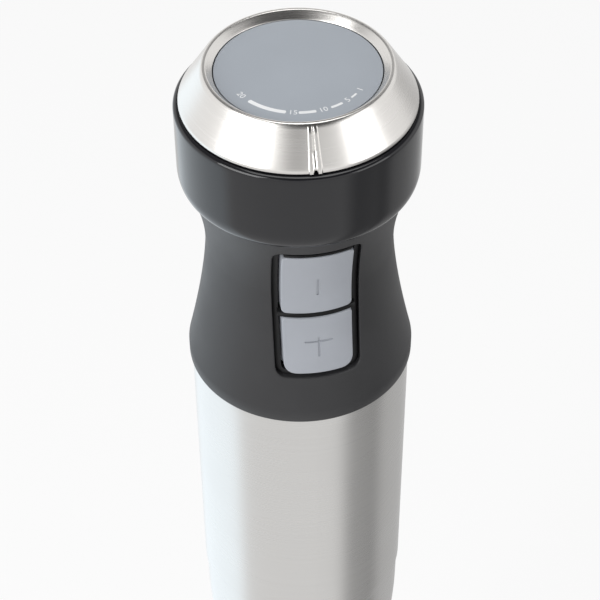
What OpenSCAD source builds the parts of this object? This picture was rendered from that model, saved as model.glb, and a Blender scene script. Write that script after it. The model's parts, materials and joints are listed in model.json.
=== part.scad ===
// Hand blender: motor unit with a speed dial on top, and a twist-off blending shaft.
// The origin is the centre of the bell's rim, which the blender stands on. +Z points up
// to the dial, and the buttons face -Y.

/* [Motor unit] */
// Outer diameter of the steel motor sleeve
body_d = 60.2; // [60:0.2:72.4]
// Length of the steel motor sleeve
sleeve_h = 89.5; // [88:0.5:108]
// Wall of the steel motor sleeve
sleeve_wall = 0.8; // [0.6:0.1:1]

/* [Grip] */
// Height of the waisted grip
grip_h = 62.2; // [61:0.2:75]
// Diameter of the grip at its top edge
grip_top_d = 58.6; // [58:0.2:60]
// Diameter of the grip at its neck
neck_d = 49.6; // [49:0.2:54]
// Drop from the grip's top edge to its neck
neck_drop = 21.2; // [20:0.2:25.4]
// How far the grip's foot stands out past the steel sleeve
grip_step = 0.75; // [0.4:0.05:1]
// Wall of the grip shells
grip_wall = 2.4; // [2:0.1:2.6]

/* [Head] */
// Outer diameter of the gloss collar
collar_d = 62.2; // [61.4:0.2:74.6]
// Height of the gloss collar
collar_h = 22.7; // [20:0.1:27.2]
// Wall of the gloss collar
collar_wall = 2.4; // [2:0.1:2.6]
// Thickness of the deck inside the collar
deck_t = 2.2; // [2:0.1:3]
// Depth of the deck's top below the collar's lip
deck_drop = 2.4; // [2:0.1:3]
// Outer radius of the fixed post that the dial turns on
post_r = 12; // [10:0.5:12.5]

/* [Dial] */
// Height of the steel dial ring
dial_h = 10.2; // [9.4:0.1:12.2]
// Outer diameter of the dial ring's lower edge
dial_d = 59.6; // [58:0.2:60.4]
// Diameter at the dial ring's top edge
rim_d = 46.8; // [45:0.2:48]
// Diameter of the scale disc
disc_d = 41.4; // [40:0.2:42]
// Sheet thickness of the dial ring
dial_wall = 0.9; // [0.7:0.1:1]
// Width of the pressed pointer rib
rib_w = 2.3; // [1.6:0.1:3]

/* [Buttons] */
// Width of both buttons
button_w = 18.4; // [16:0.2:20]
// Height of the upper button
speed_button_h = 20.8; // [18:0.2:21.4]
// Height of the lower button
turbo_button_h = 18; // [16:0.2:18.6]
// Distance from the grip's top edge to the upper button
button_drop = 6.1; // [5.6:0.1:7]
// Gap between the two buttons
button_gap = 1; // [0.8:0.1:1.4]
// Width of the dark recess beside each button
recess_rim = 2.1; // [1.6:0.1:2.4]
// How far a button can be pressed
button_travel = 1.6; // [1.2:0.1:1.8]

/* [Motor] */
// Length of the iron stack
stack_h = 28; // [24:0.5:28.5]
// Outer radius of the armature
armature_r = 15.5; // [14.5:0.1:15.6]
// Radial air gap between armature and field core
air_gap = 0.6; // [0.5:0.05:0.9]
// Radius of the motor shaft
shaft_r = 3; // [2.6:0.1:3.6]
// Radius of the fan
fan_r = 21; // [18:0.5:21]

/* [Blending shaft] */
// Height of the blending shaft from the bell's rim to the joint with the motor unit
shaft_h = 210; // [195:1:252]
// Outer diameter of the steel tube
tube_d = 25; // [24:0.5:28]
// Height of the shoulder under the motor unit
shoulder_h = 84; // [80:0.5:101]
// Outer diameter of the bell's rim
bell_d = 66; // [62:0.5:78]
// Height of the bell
bell_h = 52; // [50:0.5:60]
// Radius swept by the blade
blade_r = 23; // [20:0.5:25]
// Radius of the long drive spindle
spindle_r = 3; // [2.5:0.1:3.6]

/* [Fits] */
// Radial clearance of a shaft in its bearing
run_fit = 0.04; // [0.02:0.01:0.08]
// Gap between faces that pass each other
face_gap = 0.4; // [0.3:0.05:0.5]
// Gap between fixed pieces that slip together
slip = 0.1; // [0.05:0.05:0.2]

/* [Hidden] */

$fn = 96;
eps = 0.01;

// Radii
body_r = body_d / 2;
sleeve_in_r = body_r - sleeve_wall;
foot_r = body_r + grip_step;
grip_top_r = grip_top_d / 2;
neck_r = neck_d / 2;
collar_r = collar_d / 2;
collar_in_r = collar_r - collar_wall;
dial_r = dial_d / 2;
rim_r = rim_d / 2;
disc_r = disc_d / 2;
tube_r = tube_d / 2;
bell_r = bell_d / 2;

// Heights, from the bell's rim up
z_seam = shaft_h;
z_grip = z_seam + sleeve_h;
foot_band = 3.5;
z_foot = z_grip + foot_band;
z_collar = z_grip + grip_h;
z_neck = z_collar - neck_drop;
z_lip = z_collar + collar_h;
z_deck = z_lip - deck_drop;
z_dial = z_lip + face_gap;
z_rim = z_dial + dial_h;

// Buttons, from the top down
z_speed_top = z_collar - button_drop;
z_speed = z_speed_top - speed_button_h / 2;
z_turbo_top = z_speed_top - speed_button_h - button_gap;
z_turbo = z_turbo_top - turbo_button_h / 2;
z_recess_top = z_speed_top + 1.3;
z_recess_bottom = z_turbo_top - turbo_button_h - 1.8;
cap_flange = 1;
bezel_lap = 0.9;
switch_w = 12.8;
switch_h = 6.4;
switch_d = 6;
board_y = -8;
board_t = 1.6;
switch_face_y = board_y - board_t - switch_d;
plunger_r = 1.1;
boss_r = 2;
spring_r = 3.3;
spring_wire = 0.5;

// Motor, from the joint with the blending shaft up
socket_floor = 11;
z_plate = z_seam + socket_floor;
plate_t = 3;
z_fan = z_plate + plate_t + 2;
fan_h = 10;
z_lower_bracket = z_fan + fan_h + 2;
bracket_t = 4;
bearing_r = 9.5;
bearing_h = 6;
winding_h = 6;
z_stack = z_lower_bracket + 14;
z_stack_top = z_stack + stack_h;
z_riser = z_stack_top + winding_h + slip;
commutator_r = 10.5;
commutator_h = 12;
z_upper_bracket = z_stack_top + winding_h + 0.5;
upper_ring_t = 3;
z_brush = z_riser + 6.5;
z_cap = z_riser + commutator_h + 2;
upper_bearing_r = 8;
upper_bearing_h = 5;
journal_r = shaft_r - 0.5;
mount_h = 7;
bracket_r = 26;
bolt_x = 23.5;
bolt_r = 1.75;
leg_r = 23.8;
leg_angles = [87, 207, 327];
core_r = 27.3;
core_depth = 43;
coil_x0 = 14;
coil_x1 = 19.5;
coil_y0 = 12;
coil_y1 = 16.8;
brush = [5, 13, 8];
holder_wall = 0.8;
z_chassis = z_foot + 8.5;
chassis_t = 2.4;
rail_x = 17;
rail_t = 3;
rail_depth = 12;

// Bayonet and dog coupling
plug_r = 19.8;
plug_in_r = 13;
lug_r = 22.3;
lug_arc = 24;
twist = 28;
z_lug = z_seam + 3.5;
lug_h = 3;
seam_gap = 0.6;
z_shoulder = z_seam - seam_gap;
plug_top = z_seam + 9.5;
dog_r = 10;
dog_in_r = 5;
dog_arc = 22;
dog_lead = 38;
dog_h = 5;
z_driven = z_seam - 4;
driven_t = 4.5;
z_drive = z_driven + driven_t + dog_h + face_gap;
drive_t = 3.8;

// Blending shaft, from the bell's rim up
shell_t = 0.8;
bell_wall = 1;
z_blade = 14;
blade_t = 1.4;
z_nut = z_blade - 4.5;
z_seal = 24;
seal_h = 5;
z_lower_bush = z_seal + seal_h + 0.5;
bush_h = 12;
carrier_top = z_lower_bush + bush_h + 2;
bush_r = spindle_r + 3.2;
z_upper_bush = z_shoulder - 20;
z_tube_top = z_shoulder - shoulder_h + 8;

// Colours
steel = [0.80, 0.79, 0.77];
dark_steel = [0.45, 0.45, 0.47];
gloss_black = [0.07, 0.07, 0.08];
soft_black = [0.16, 0.16, 0.17];
button_grey = [0.66, 0.68, 0.71];
disc_grey = [0.55, 0.59, 0.63];
board_green = [0.12, 0.40, 0.24];
copper = [0.75, 0.42, 0.22];
brass = [0.78, 0.62, 0.30];
bronze = [0.66, 0.48, 0.28];
rubber = [0.10, 0.10, 0.10];

// Tube between two radii and two heights.
module ring(r_out, r_in, z0, z1) {
  translate([0, 0, z0]) difference() {
    cylinder(r = r_out, h = z1 - z0);
    translate([0, 0, -1]) cylinder(r = r_in, h = z1 - z0 + 2);
  }
}

// Part of a tube between two angles, measured from +X.
module sector(r_out, r_in, a0, a1, z0, z1) {
  translate([0, 0, z0]) rotate([0, 0, a0]) rotate_extrude(angle = a1 - a0)
    translate([r_in, 0]) square([r_out - r_in, z1 - z0]);
}

// Rectangle with rounded corners, centred.
module rounded_rect(w, h, r) {
  square([w - 2 * r, h], center = true);
  square([w, h - 2 * r], center = true);
  for (x = [-1, 1], y = [-1, 1])
    translate([x * (w / 2 - r), y * (h / 2 - r)]) circle(r = r, $fn = 32);
}

// Rounded bar that reaches from the axis out past the front of the grip.
module front_prism(w, z0, z1, r, y0 = 0) {
  translate([0, -y0, (z0 + z1) / 2]) rotate([90, 0, 0])
    linear_extrude(height = foot_r + 5 - y0) rounded_rect(w, z1 - z0, r);
}

// Outer radius of the grip at a height: a parabola above the neck and a softer power below it.
function grip_r(z) =
  z >= z_neck ? neck_r + (grip_top_r - neck_r) * pow((z - z_neck) / (z_collar - z_neck), 2) :
  z >= z_foot ? neck_r + (foot_r - neck_r) * pow((z_neck - z) / (z_neck - z_foot), 1.45) :
  foot_r;

// Points down the grip's outline, moved inwards by an inset.
function grip_line(z0, z1, inset, n) =
  [for (i = [0:n]) let (z = z0 + (z1 - z0) * i / n) [grip_r(z) - inset, z]];

function reversed(points) = [for (i = [len(points) - 1:-1:0]) points[i]];

// Shell that follows the grip between two insets.
module grip_band(z0, z1, outer, inner, n = 16) {
  rotate_extrude()
    polygon(concat(grip_line(z0, z1, outer, n), reversed(grip_line(z0, z1, inner, n))));
}

// Triangulated tube of radius r along a list of points, closed at both ends.
module swept_tube(path, r, sides = 8) {
  n = len(path);
  ring_at = function (i)
    let (
      a = path[max(i - 1, 0)], b = path[min(i + 1, n - 1)], t = (b - a) / norm(b - a),
      ref = abs(t[1]) < 0.9 ? [0, 1, 0] : [1, 0, 0],
      u = cross(t, ref) / norm(cross(t, ref)), v = cross(t, u)
    ) [for (k = [0:sides - 1]) path[i] + r * (cos(360 * k / sides) * u + sin(360 * k / sides) * v)];
  points = [for (i = [0:n - 1]) each ring_at(i)];
  walls = [for (i = [0:n - 2], k = [0:sides - 1])
    let (j = (k + 1) % sides)
    [i * sides + k, (i + 1) * sides + k, (i + 1) * sides + j, i * sides + j]];
  caps = [[for (k = [0:sides - 1]) k], [for (k = [sides - 1:-1:0]) (n - 1) * sides + k]];
  polyhedron(points, concat(walls, caps), convexity = 6);
}

// ---- Dial -------------------------------------------------------------------------------

// Rounding under the rim, the cone's height, and the cone's outer radius at a drop under the rim.
shoulder_round = 0.8;
cone_drop = dial_h - 0.6;
function cone_r(drop) =
  rim_r + shoulder_round + (dial_r - rim_r - shoulder_round)
  * (drop - shoulder_round) / (cone_drop - shoulder_round);

// Turned steel ring: inner bevel, narrow rim, long outer cone, and a pressed rib as pointer.
module dial_ring() {
  bevel_top = rim_r - 0.8;
  bevel_in = disc_r + 0.25;
  in = dial_wall * 0.85;
  color(steel) difference() {
    union() {
      rotate_extrude() polygon([
        [bevel_in, z_rim - 1.8], [bevel_top, z_rim], [rim_r, z_rim],
        [rim_r + 0.5, z_rim - 0.2], [rim_r + shoulder_round, z_rim - shoulder_round],
        [dial_r, z_rim - cone_drop], [dial_r, z_dial],
        [dial_r - dial_wall, z_dial], [cone_r(cone_drop) - in, z_rim - cone_drop - 0.4],
        [cone_r(shoulder_round) - in, z_rim - shoulder_round - 0.4],
        [rim_r - 0.2, z_rim - dial_wall - 0.1], [bevel_top, z_rim - dial_wall - 0.1],
        [bevel_in, z_rim - 1.8 - dial_wall]
      ]);
      pointer_rib();
    }
    // Small opening under the rib's lower end
    translate([-rib_w * 0.12, -dial_r - 1, z_dial - 1]) cube([rib_w * 0.24, 2.6, 2]);
  }
}

// Two narrow ridges down the front of the cone.
module pointer_rib() {
  ridge_w = rib_w * 0.36;
  proud = 0.45;
  for (s = [-1, 1]) translate([s * (rib_w - ridge_w) / 2, 0, 0])
    rotate([90, 0, -90]) translate([0, 0, -ridge_w / 2]) linear_extrude(height = ridge_w)
      polygon([
        [cone_r(1.2) - 0.3, z_rim - 1.2], [cone_r(1.2) + 0.1, z_rim - 1.1],
        [cone_r(1.8) + proud, z_rim - 1.8], [dial_r + proud, z_rim - cone_drop],
        [dial_r + proud - 0.1, z_dial + 0.1], [dial_r - 0.4, z_dial + 0.1],
        [dial_r - 0.4, z_rim - cone_drop]
      ]);
}

// Moulded carrier under the steel ring, which turns on the fixed post.
carrier_hub_r = post_r + 1.5;
web_top = z_rim - 3.8;
web_t = 2.4;
module dial_carrier() {
  skirt_bottom = z_dial + 0.2;
  in = dial_wall * 0.85 + slip + 0.1;
  hub_bottom = z_deck + 0.3;
  bore = post_r + run_fit;
  color(soft_black) rotate_extrude() polygon([
    [bore, hub_bottom], [carrier_hub_r, hub_bottom], [carrier_hub_r, web_top - web_t],
    [disc_r + 2.6, web_top - web_t], [dial_r - 3.2, skirt_bottom],
    [dial_r - dial_wall - slip - 0.4, skirt_bottom],
    [cone_r(cone_drop - 0.8) - in - 0.5, z_rim - cone_drop + 0.4],
    [cone_r(3.8) - in - 0.5, web_top], [bore, web_top]
  ]);
}

// Bronze leaf under the carrier, which wipes the speed track.
wiper_r = 20;
module dial_wiper() {
  leaf_t = 0.3;
  track_z = z_deck + board_t + 0.3;
  web_z = web_top - web_t;
  color(bronze) translate([-2, wiper_r, 0]) rotate([90, 0, 0])
    translate([0, 0, -1.5]) linear_extrude(height = 3) polygon([
      [0, web_z], [5, web_z], [5, web_z - leaf_t], [0.3, web_z - leaf_t],
      [-2.6, track_z], [-3.2, track_z], [-4.6, track_z + 0.7], [-4.3, track_z + 0.9],
      [-3, track_z + leaf_t], [-2.8, track_z + leaf_t]
    ]);
}

// Fixed disc with the printed scale, clipped into the post.
module scale_disc() {
  disc_t = 1.6;
  stem_r = post_r - 3 - slip;
  color(disc_grey) union() {
    translate([0, 0, z_rim - 1.8 - disc_t]) cylinder(r = disc_r, h = disc_t);
    ring(stem_r, stem_r - 1.6, z_rim - 9, z_rim - 1.8 - disc_t + eps);
  }
}

// ---- Head -------------------------------------------------------------------------------

gland_z = z_collar + 10.7;
gland_r = 6;
gland_bore = 3.6;

// Gloss collar with a rounded lip, the deck under the dial, and the dial's post.
module head_collar() {
  lip = 1.1;
  foot = 1.6;
  foot_h = 4.3;
  color(gloss_black) difference() {
    rotate_extrude() polygon(concat(
      [[collar_in_r, z_collar], [collar_r - foot, z_collar]],
      [for (a = [10:10:80]) [
        collar_r - foot + foot * sin(a), z_collar + foot_h - foot_h * cos(a)]],
      [[collar_r, z_collar + foot_h], [collar_r, z_lip - lip]],
      [for (a = [15:15:75]) [collar_r - lip + lip * cos(a), z_lip - lip + lip * sin(a)]],
      [
        [collar_r - lip, z_lip], [collar_in_r - 0.4, z_lip], [collar_in_r - 0.4, z_deck],
        [post_r, z_deck], [post_r, z_rim - 3.4], [post_r - 3, z_rim - 3.4],
        [post_r - 3, z_deck - deck_t], [collar_in_r, z_deck - deck_t]
      ]
    ));
    translate([0, collar_in_r - 4, gland_z]) rotate([-90, 0, 0])
      cylinder(r = gland_r + slip, h = 10);
    for (s = [-1, 1]) translate([s * (rail_x + rail_t / 2), 0, z_deck - deck_t - 1]) {
      cylinder(r = 1.6, h = deck_t + 2);
      translate([0, 0, deck_t - 0.5]) cylinder(r = 3, h = 3);
    }
  }
}

// Rubber bush in the rear of the collar that the mains lead leaves through.
module cord_gland() {
  flange_r = gland_r + 0.9;
  inside = collar_in_r - 2.4;
  outside = collar_r + 1.2;
  color(rubber) difference() {
    union() {
      difference() {
        translate([0, inside, gland_z]) rotate([-90, 0, 0])
          cylinder(r = flange_r, h = outside - inside);
        ring(collar_r + slip / 2, collar_in_r - slip / 2, gland_z - 10, gland_z + 10);
      }
      translate([0, inside, gland_z]) rotate([-90, 0, 0])
        cylinder(r = gland_r, h = outside - inside);
    }
    translate([0, inside - 1, gland_z]) rotate([-90, 0, 0]) cylinder(r = gland_bore, h = 20);
  }
}

// Ring-shaped board with the resistive track, on the deck.
module speed_track_board() {
  color(board_green) ring(collar_in_r - 2.4, carrier_hub_r + 0.7, z_deck, z_deck + board_t);
}

// ---- Grip -------------------------------------------------------------------------------

spigot_t = 2.2;
grip_in = grip_wall;

// Whole grip shell before it is split: waisted band with a spigot at each end.
module grip_shell_ring() {
  top_spigot = collar_in_r - slip;
  foot_spigot = sleeve_in_r - slip;
  spigot_bottom = z_upper_bracket + mount_h + 0.2;
  color(soft_black) difference() {
    union() {
      rotate_extrude() polygon(concat(
        [[foot_r - grip_in - 1, z_grip]], [[foot_r - 0.5, z_grip], [foot_r, z_grip + 0.5]],
        grip_line(z_foot, z_collar, 0, 28),
        reversed(grip_line(z_foot, z_collar, grip_in, 14))
      ));
      ring(top_spigot, grip_top_r - grip_in - 0.4, z_collar - 1.5, z_collar + 3.5);
      ring(foot_spigot, foot_spigot - spigot_t, spigot_bottom, z_grip + 1);
    }
    // Keeps the upper spigot's root inside the shell's outline
    difference() {
      ring(grip_top_r + 4, neck_r, z_collar - 3, z_collar);
      grip_band(z_collar - 4, z_collar + eps, 0, 12, 8);
    }
  }
}

// Front half of the grip, with the cut-out for the button bezel.
module grip_front_shell() {
  color(soft_black) difference() {
    intersection() {
      grip_shell_ring();
      translate([-50, -100, z_seam]) cube([100, 100, 300]);
    }
    front_prism(button_w + 2 * recess_rim, z_recess_bottom, z_recess_top, 3, 5);
  }
}

// Rear half of the grip, with the air inlet slots.
module grip_rear_shell() {
  slots = 5;
  pitch = 4;
  slot_h = 1.8;
  color(soft_black) difference() {
    intersection() {
      grip_shell_ring();
      translate([-50, 0, z_seam]) cube([100, 100, 300]);
    }
    for (i = [0:slots - 1]) translate([0, 10, z_foot + 10 + i * pitch]) rotate([-90, 0, 0])
      linear_extrude(height = foot_r) rounded_rect(16, slot_h, slot_h / 2 - eps);
  }
}

// Dark frame in the grip's cut-out, which both buttons slide through.
module button_bezel() {
  w = button_w + 2 * recess_rim - 2 * slip;
  lap_w = button_w + 2 * recess_rim + 1.6;
  color(gloss_black) difference() {
    union() {
      intersection() {
        front_prism(w, z_recess_bottom + slip, z_recess_top - slip, 3, 5);
        grip_band(z_recess_bottom, z_recess_top, 0.9, grip_in + bezel_lap, 12);
      }
      intersection() {
        front_prism(lap_w, z_recess_bottom - 1, z_recess_top + 1, 3, 5);
        grip_band(z_recess_bottom - 1, z_recess_top + 1, grip_in + slip, grip_in + bezel_lap, 12);
      }
    }
    front_prism(button_w + 2 * face_gap, z_turbo_top - turbo_button_h - face_gap,
      z_speed_top + face_gap, 1.6, 3);
  }
}

// Button cap that follows the grip, with a stop flange behind the bezel and a spring boss.
module button_cap(z0, z1, proud, corner) {
  z = (z0 + z1) / 2;
  back = grip_in + bezel_lap + face_gap;
  flange_in = back + cap_flange;
  tip_y = switch_face_y - button_travel - 0.3;
  pad_y = grip_r(z) - flange_in - 0.9;
  color(button_grey) union() {
    intersection() {
      front_prism(button_w, z0, z1, corner, 8);
      grip_band(z0 - 1, z1 + 1, -proud, flange_in, 12);
    }
    intersection() {
      front_prism(button_w + 2.4, z0 + slip, z1 - slip, corner, 8);
      grip_band(z0 - 1, z1 + 1, back, flange_in, 12);
    }
    // Flat pad on the cap's back, and the boss on it
    translate([-boss_r - 0.6, -pad_y - 2, z - boss_r - 0.6])
      cube([2 * boss_r + 1.2, 2, 2 * boss_r + 1.2]);
    translate([0, tip_y, z]) rotate([90, 0, 0])
      cylinder(r = boss_r, h = pad_y + 0.5 + tip_y, $fn = 48);
  }
}

module speed_button() button_cap(z_speed_top - speed_button_h, z_speed_top, 0.3, 1.6);
module turbo_button() button_cap(z_turbo_top - turbo_button_h, z_turbo_top, 0.6, 1.8);

// Switch plunger that the button's boss carries into the switch.
module plunger(z) {
  tip_y = switch_face_y - button_travel - 0.3;
  color(steel) translate([0, switch_face_y + 1, z]) rotate([90, 0, 0])
    cylinder(r = plunger_r, h = switch_face_y + 1 - tip_y, $fn = 48);
}
module speed_plunger() plunger(z_speed);
module turbo_plunger() plunger(z_turbo);

// Helical return spring between the switch and the button's flange.
module return_spring(z) {
  turns = 4.5;
  steps = 63;
  y0 = switch_face_y - spring_wire / 2 - 0.05;
  reach = spring_r + spring_wire / 2;
  seat_r = min(grip_r(z - reach), grip_r(z), grip_r(z + reach)) - grip_in - bezel_lap - face_gap - cap_flange;
  y1 = -sqrt(seat_r * seat_r - reach * reach) + spring_wire / 2 + face_gap;
  path = [for (i = [0:steps]) let (a = 360 * turns * i / steps)
    [spring_r * cos(a), y0 + (y1 - y0) * i / steps, z + spring_r * sin(a)]];
  color(steel) swept_tube(path, spring_wire / 2, 6);
}
module speed_spring() return_spring(z_speed);
module turbo_spring() return_spring(z_turbo);

// Microswitch body with a bore for its plunger.
module microswitch(z) {
  color(dark_steel) difference() {
    translate([-switch_w / 2, switch_face_y, z - switch_h / 2]) cube([switch_w, switch_d, switch_h]);
    translate([0, switch_face_y - 1, z]) rotate([-90, 0, 0])
      cylinder(r = plunger_r + run_fit, h = button_travel + 2.6, $fn = 48);
  }
}
module speed_switch() microswitch(z_speed);
module turbo_switch() microswitch(z_turbo);

// Board behind the two switches.
module switch_board() {
  z0 = z_turbo - 8;
  color(board_green) translate([-14, board_y - board_t, z0]) cube([28, board_t, z_speed + 8 - z0]);
}

// ---- Chassis and boards -----------------------------------------------------------------

rail_top = z_deck - deck_t;
bulkhead_t = 2;

// Moulded frame in the grip: base plate over the motor, two rails up to the deck, a bulkhead.
module inner_chassis() {
  base_r = grip_r(z_chassis + chassis_t) - grip_in - slip;
  color(soft_black) difference() {
    union() {
      translate([0, 0, z_chassis]) intersection() {
        cylinder(r = base_r, h = chassis_t);
        translate([-base_r, -15, 0]) cube([2 * base_r, 30, chassis_t]);
      }
      for (s = [-1, 1]) translate([s * (rail_x + rail_t / 2) - rail_t / 2, -rail_depth / 2,
        z_chassis]) cube([rail_t, rail_depth, rail_top - z_chassis]);
      translate([-rail_x - eps, board_y, z_chassis])
        cube([2 * rail_x + 2 * eps, bulkhead_t + eps, z_speed + 10 - z_chassis]);
    }
    for (s = [-1, 1]) translate([s * (rail_x + rail_t / 2), 0, rail_top - 12])
      cylinder(r = 1.05, h = 13, $fn = 32);
    translate([0, 0, z_chassis - 1]) cylinder(r = 6, h = chassis_t + 2);
  }
}

// Two screws from the deck down into the rails.
module chassis_screws() {
  color(steel) for (s = [-1, 1]) translate([s * (rail_x + rail_t / 2), 0, 0]) {
    translate([0, 0, rail_top - 10]) cylinder(r = 1, h = deck_t + 9.6, $fn = 32);
    translate([0, 0, z_deck - 1.4]) difference() {
      cylinder(r = 2.6, h = 1.3);
      for (a = [0, 90]) translate([0, 0, 1.1]) rotate([0, 0, a]) cube([3, 0.6, 1], center = true);
    }
  }
}

// Speed control board on the rear of the rails.
module control_board() {
  z0 = z_chassis + chassis_t + 2;
  color(board_green) translate([-16, rail_depth / 2, z0]) cube([32, board_t, z_deck - 16 - z0]);
}

// Boxed mains suppression capacitor on the control board.
module suppression_capacitor() {
  color([0.85, 0.68, 0.15]) translate([-12, rail_depth / 2 + board_t, z_neck + 10])
    difference() {
      cube([17.5, 6.5, 11]);
      translate([1, -1, -1]) cube([15.5, 2, 1.6]);
    }
}

// Finned aluminium plate that cools the triac on the control board.
module heat_sink() {
  color([0.75, 0.76, 0.78]) translate([-9, rail_depth / 2 + board_t, z_neck - 16]) {
    cube([18, 1.6, 18]);
    for (i = [0:4]) translate([i * 4.1, 1.5, 0]) cube([1.6, 5, 18]);
  }
}

// Insulated leads from the control board down to the brush holders.
module motor_leads() {
  lead_r = 0.8;
  y_end = brush_out_y - 1.6;
  z_end = z_brush + brush[2] / 2 + holder_wall + lead_r + 0.05;
  y_board = rail_depth / 2 + board_t + lead_r + 0.1;
  color([0.7, 0.1, 0.1]) swept_tube([
    [13.5, y_board, z_chassis + 14], [13.5, y_board + 0.4, z_chassis + 9],
    [12, 16.6, z_chassis + 5], [8, 18, z_chassis + 0.5], [4, 20, z_chassis - 3.2],
    [1, y_end - 0.8, z_end + 1.4], [0, y_end, z_end]
  ], lead_r);
  color([0.1, 0.2, 0.6]) swept_tube([
    [-13.5, y_board, z_chassis + 14], [-13.5, y_board + 1, z_chassis + 9],
    [-15, 16.6, z_chassis + 4], [-19, 16, z_chassis - 1.2], [-22, 6, z_chassis - 2.6],
    [-22, -6, z_chassis - 2.6], [-16, -16, z_chassis - 2.6], [-6, -y_end + 1.6, z_end + 3],
    [-1, -y_end + 0.2, z_end + 0.4], [0, -y_end, z_end]
  ], lead_r);
}

// ---- Motor ------------------------------------------------------------------------------

brush_out_y = commutator_r + 0.3 + brush[1] + 1.2;

module steel_sleeve() color(steel) ring(body_r, sleeve_in_r, z_seam, z_grip);

// Rubber ring between a motor bracket and the sleeve.
module motor_mount(z) {
  color(rubber) difference() {
    ring(sleeve_in_r - slip, bracket_r + slip, z, z + mount_h);
    for (a = [0:30:330]) rotate([0, 0, a]) translate([sleeve_in_r, 0, z - 1])
      cylinder(r = 1, h = mount_h + 2, $fn = 24);
  }
}
module upper_motor_mount() motor_mount(z_upper_bracket);
module lower_motor_mount() motor_mount(z_lower_bracket);

// Bolt holes shared by the brackets and the core.
module bolt_holes(z0, z1) {
  for (s = [-1, 1]) translate([s * bolt_x, 0, z0]) cylinder(r = bolt_r + slip, h = z1 - z0, $fn = 48);
}

// Commutator-end bracket: ring on the core, cage round the brushes, and the bearing's seat.
module upper_bracket() {
  cage_r = 18.5;
  color(soft_black) difference() {
    union() {
      ring(bracket_r, cage_r - 2, z_upper_bracket, z_upper_bracket + upper_ring_t);
      ring(cage_r, cage_r - 2, z_upper_bracket, z_cap + 2.5);
      ring(cage_r, shaft_r + 1.5, z_cap, z_cap + 2.5);
      ring(upper_bearing_r + 2, upper_bearing_r, z_cap, z_cap + upper_bearing_h);
      for (s = [-1, 1]) translate([s * bolt_x, 0, z_stack_top])
        cylinder(r = 2.6, h = z_upper_bracket - z_stack_top + 1, $fn = 48);
    }
    bolt_holes(z_stack_top - 1, z_upper_bracket + upper_ring_t + 1);
    translate([0, 0, z_cap + 1.5]) cylinder(r = upper_bearing_r, h = 10);
    translate([0, 0, z_brush]) cube([
      brush[0] + 2 * holder_wall + 0.1, 60, brush[2] + 2 * holder_wall + 0.1], center = true);
    for (s = [-1, 1]) translate([s * cage_r, 0, z_brush]) cube([10, 12, 8], center = true);
  }
}

// Drive-end bracket: ring, four arms, bearing seat, and three legs down to the socket.
module lower_bracket() {
  color(dark_steel) difference() {
    union() {
      ring(bracket_r, bracket_r - 5, z_lower_bracket, z_lower_bracket + bracket_t);
      ring(bearing_r + 2.2, bearing_r, z_lower_bracket, z_lower_bracket + bearing_h + 1);
      ring(bearing_r + 2.2, shaft_r + 2.5, z_lower_bracket, z_lower_bracket + 1);
      for (a = [45:90:315]) rotate([0, 0, a]) translate([bearing_r + 1.2, -2.5, z_lower_bracket])
        cube([bracket_r - 3 - bearing_r - 1.2, 5, bracket_t]);
      for (s = [-1, 1]) {
        translate([s * bolt_x, 0, z_lower_bracket + 1])
          cylinder(r = 2.6, h = z_stack - z_lower_bracket - 1, $fn = 48);
      }
      for (a = leg_angles) rotate([0, 0, a]) translate([leg_r, 0, z_plate + plate_t])
        cylinder(r = 2.1, h = z_lower_bracket - z_plate - plate_t + 1, $fn = 48);
    }
    bolt_holes(z_lower_bracket - 1, z_stack + 1);
    for (a = leg_angles) rotate([0, 0, a]) translate([leg_r, 0, z_plate])
      cylinder(r = 1.05, h = 12, $fn = 32);
  }
}

// Two long bolts that clamp the brackets to the core.
module motor_screws() {
  head_h = 2;
  z0 = z_lower_bracket - slip;
  color(steel) for (s = [-1, 1]) translate([s * bolt_x, 0, 0]) {
    translate([0, 0, z0]) cylinder(r = bolt_r, h = z_upper_bracket + upper_ring_t + 2.6 - z0, $fn = 48);
    translate([0, 0, z_upper_bracket + upper_ring_t]) cylinder(r = 2.5, h = head_h, $fn = 6);
    translate([0, 0, z0 - 1]) cylinder(r = 2.4, h = 1, $fn = 48);
  }
}

// Laminated field core with two poles and open windows for the coils.
module field_core() {
  color(dark_steel) translate([0, 0, z_stack]) linear_extrude(height = stack_h) difference() {
    intersection() {
      circle(r = core_r);
      square([2 * core_r, core_depth], center = true);
    }
    circle(r = armature_r + air_gap);
    for (x = [-1, 1], y = [-1, 1])
      translate([x * (9 + coil_x1 + 0.4) / 2, y * (coil_y0 + coil_y1) / 2])
        square([coil_x1 + 0.4 - 9, coil_y1 - coil_y0 + 0.6], center = true);
    for (x = [-1, 1]) translate([x * bolt_x, 0]) circle(r = bolt_r + slip, $fn = 48);
  }
}

// One enamelled coil round each pole.
module field_coils() {
  z_mid = z_stack + stack_h / 2;
  color(copper) for (s = [-1, 1]) translate([s * (coil_x0 + coil_x1) / 2, 0, z_mid])
    rotate([0, 90, 0]) translate([0, 0, -(coil_x1 - coil_x0) / 2])
      linear_extrude(height = coil_x1 - coil_x0) difference() {
        rounded_rect(stack_h + 2 * winding_h - 1, 2 * coil_y1, 4);
        rounded_rect(stack_h + 1, 2 * coil_y0, 0.6);
      }
}

// Ball bearing shown as one solid, with grooved faces.
module bearing(z, r_out, r_in, h) {
  color(steel) difference() {
    ring(r_out, r_in + run_fit, z, z + h);
    for (k = [0, 1]) ring(r_out - 1.6, r_in + 1.6, z - 1 + k * (h + 0.6), z + 0.4 + k * (h + 0.6));
  }
}
module upper_bearing()
  bearing(z_cap + 1.5, upper_bearing_r - slip / 2, journal_r, upper_bearing_h);
module lower_bearing()
  bearing(z_lower_bracket + 1, bearing_r - slip / 2, shaft_r, bearing_h);

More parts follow.
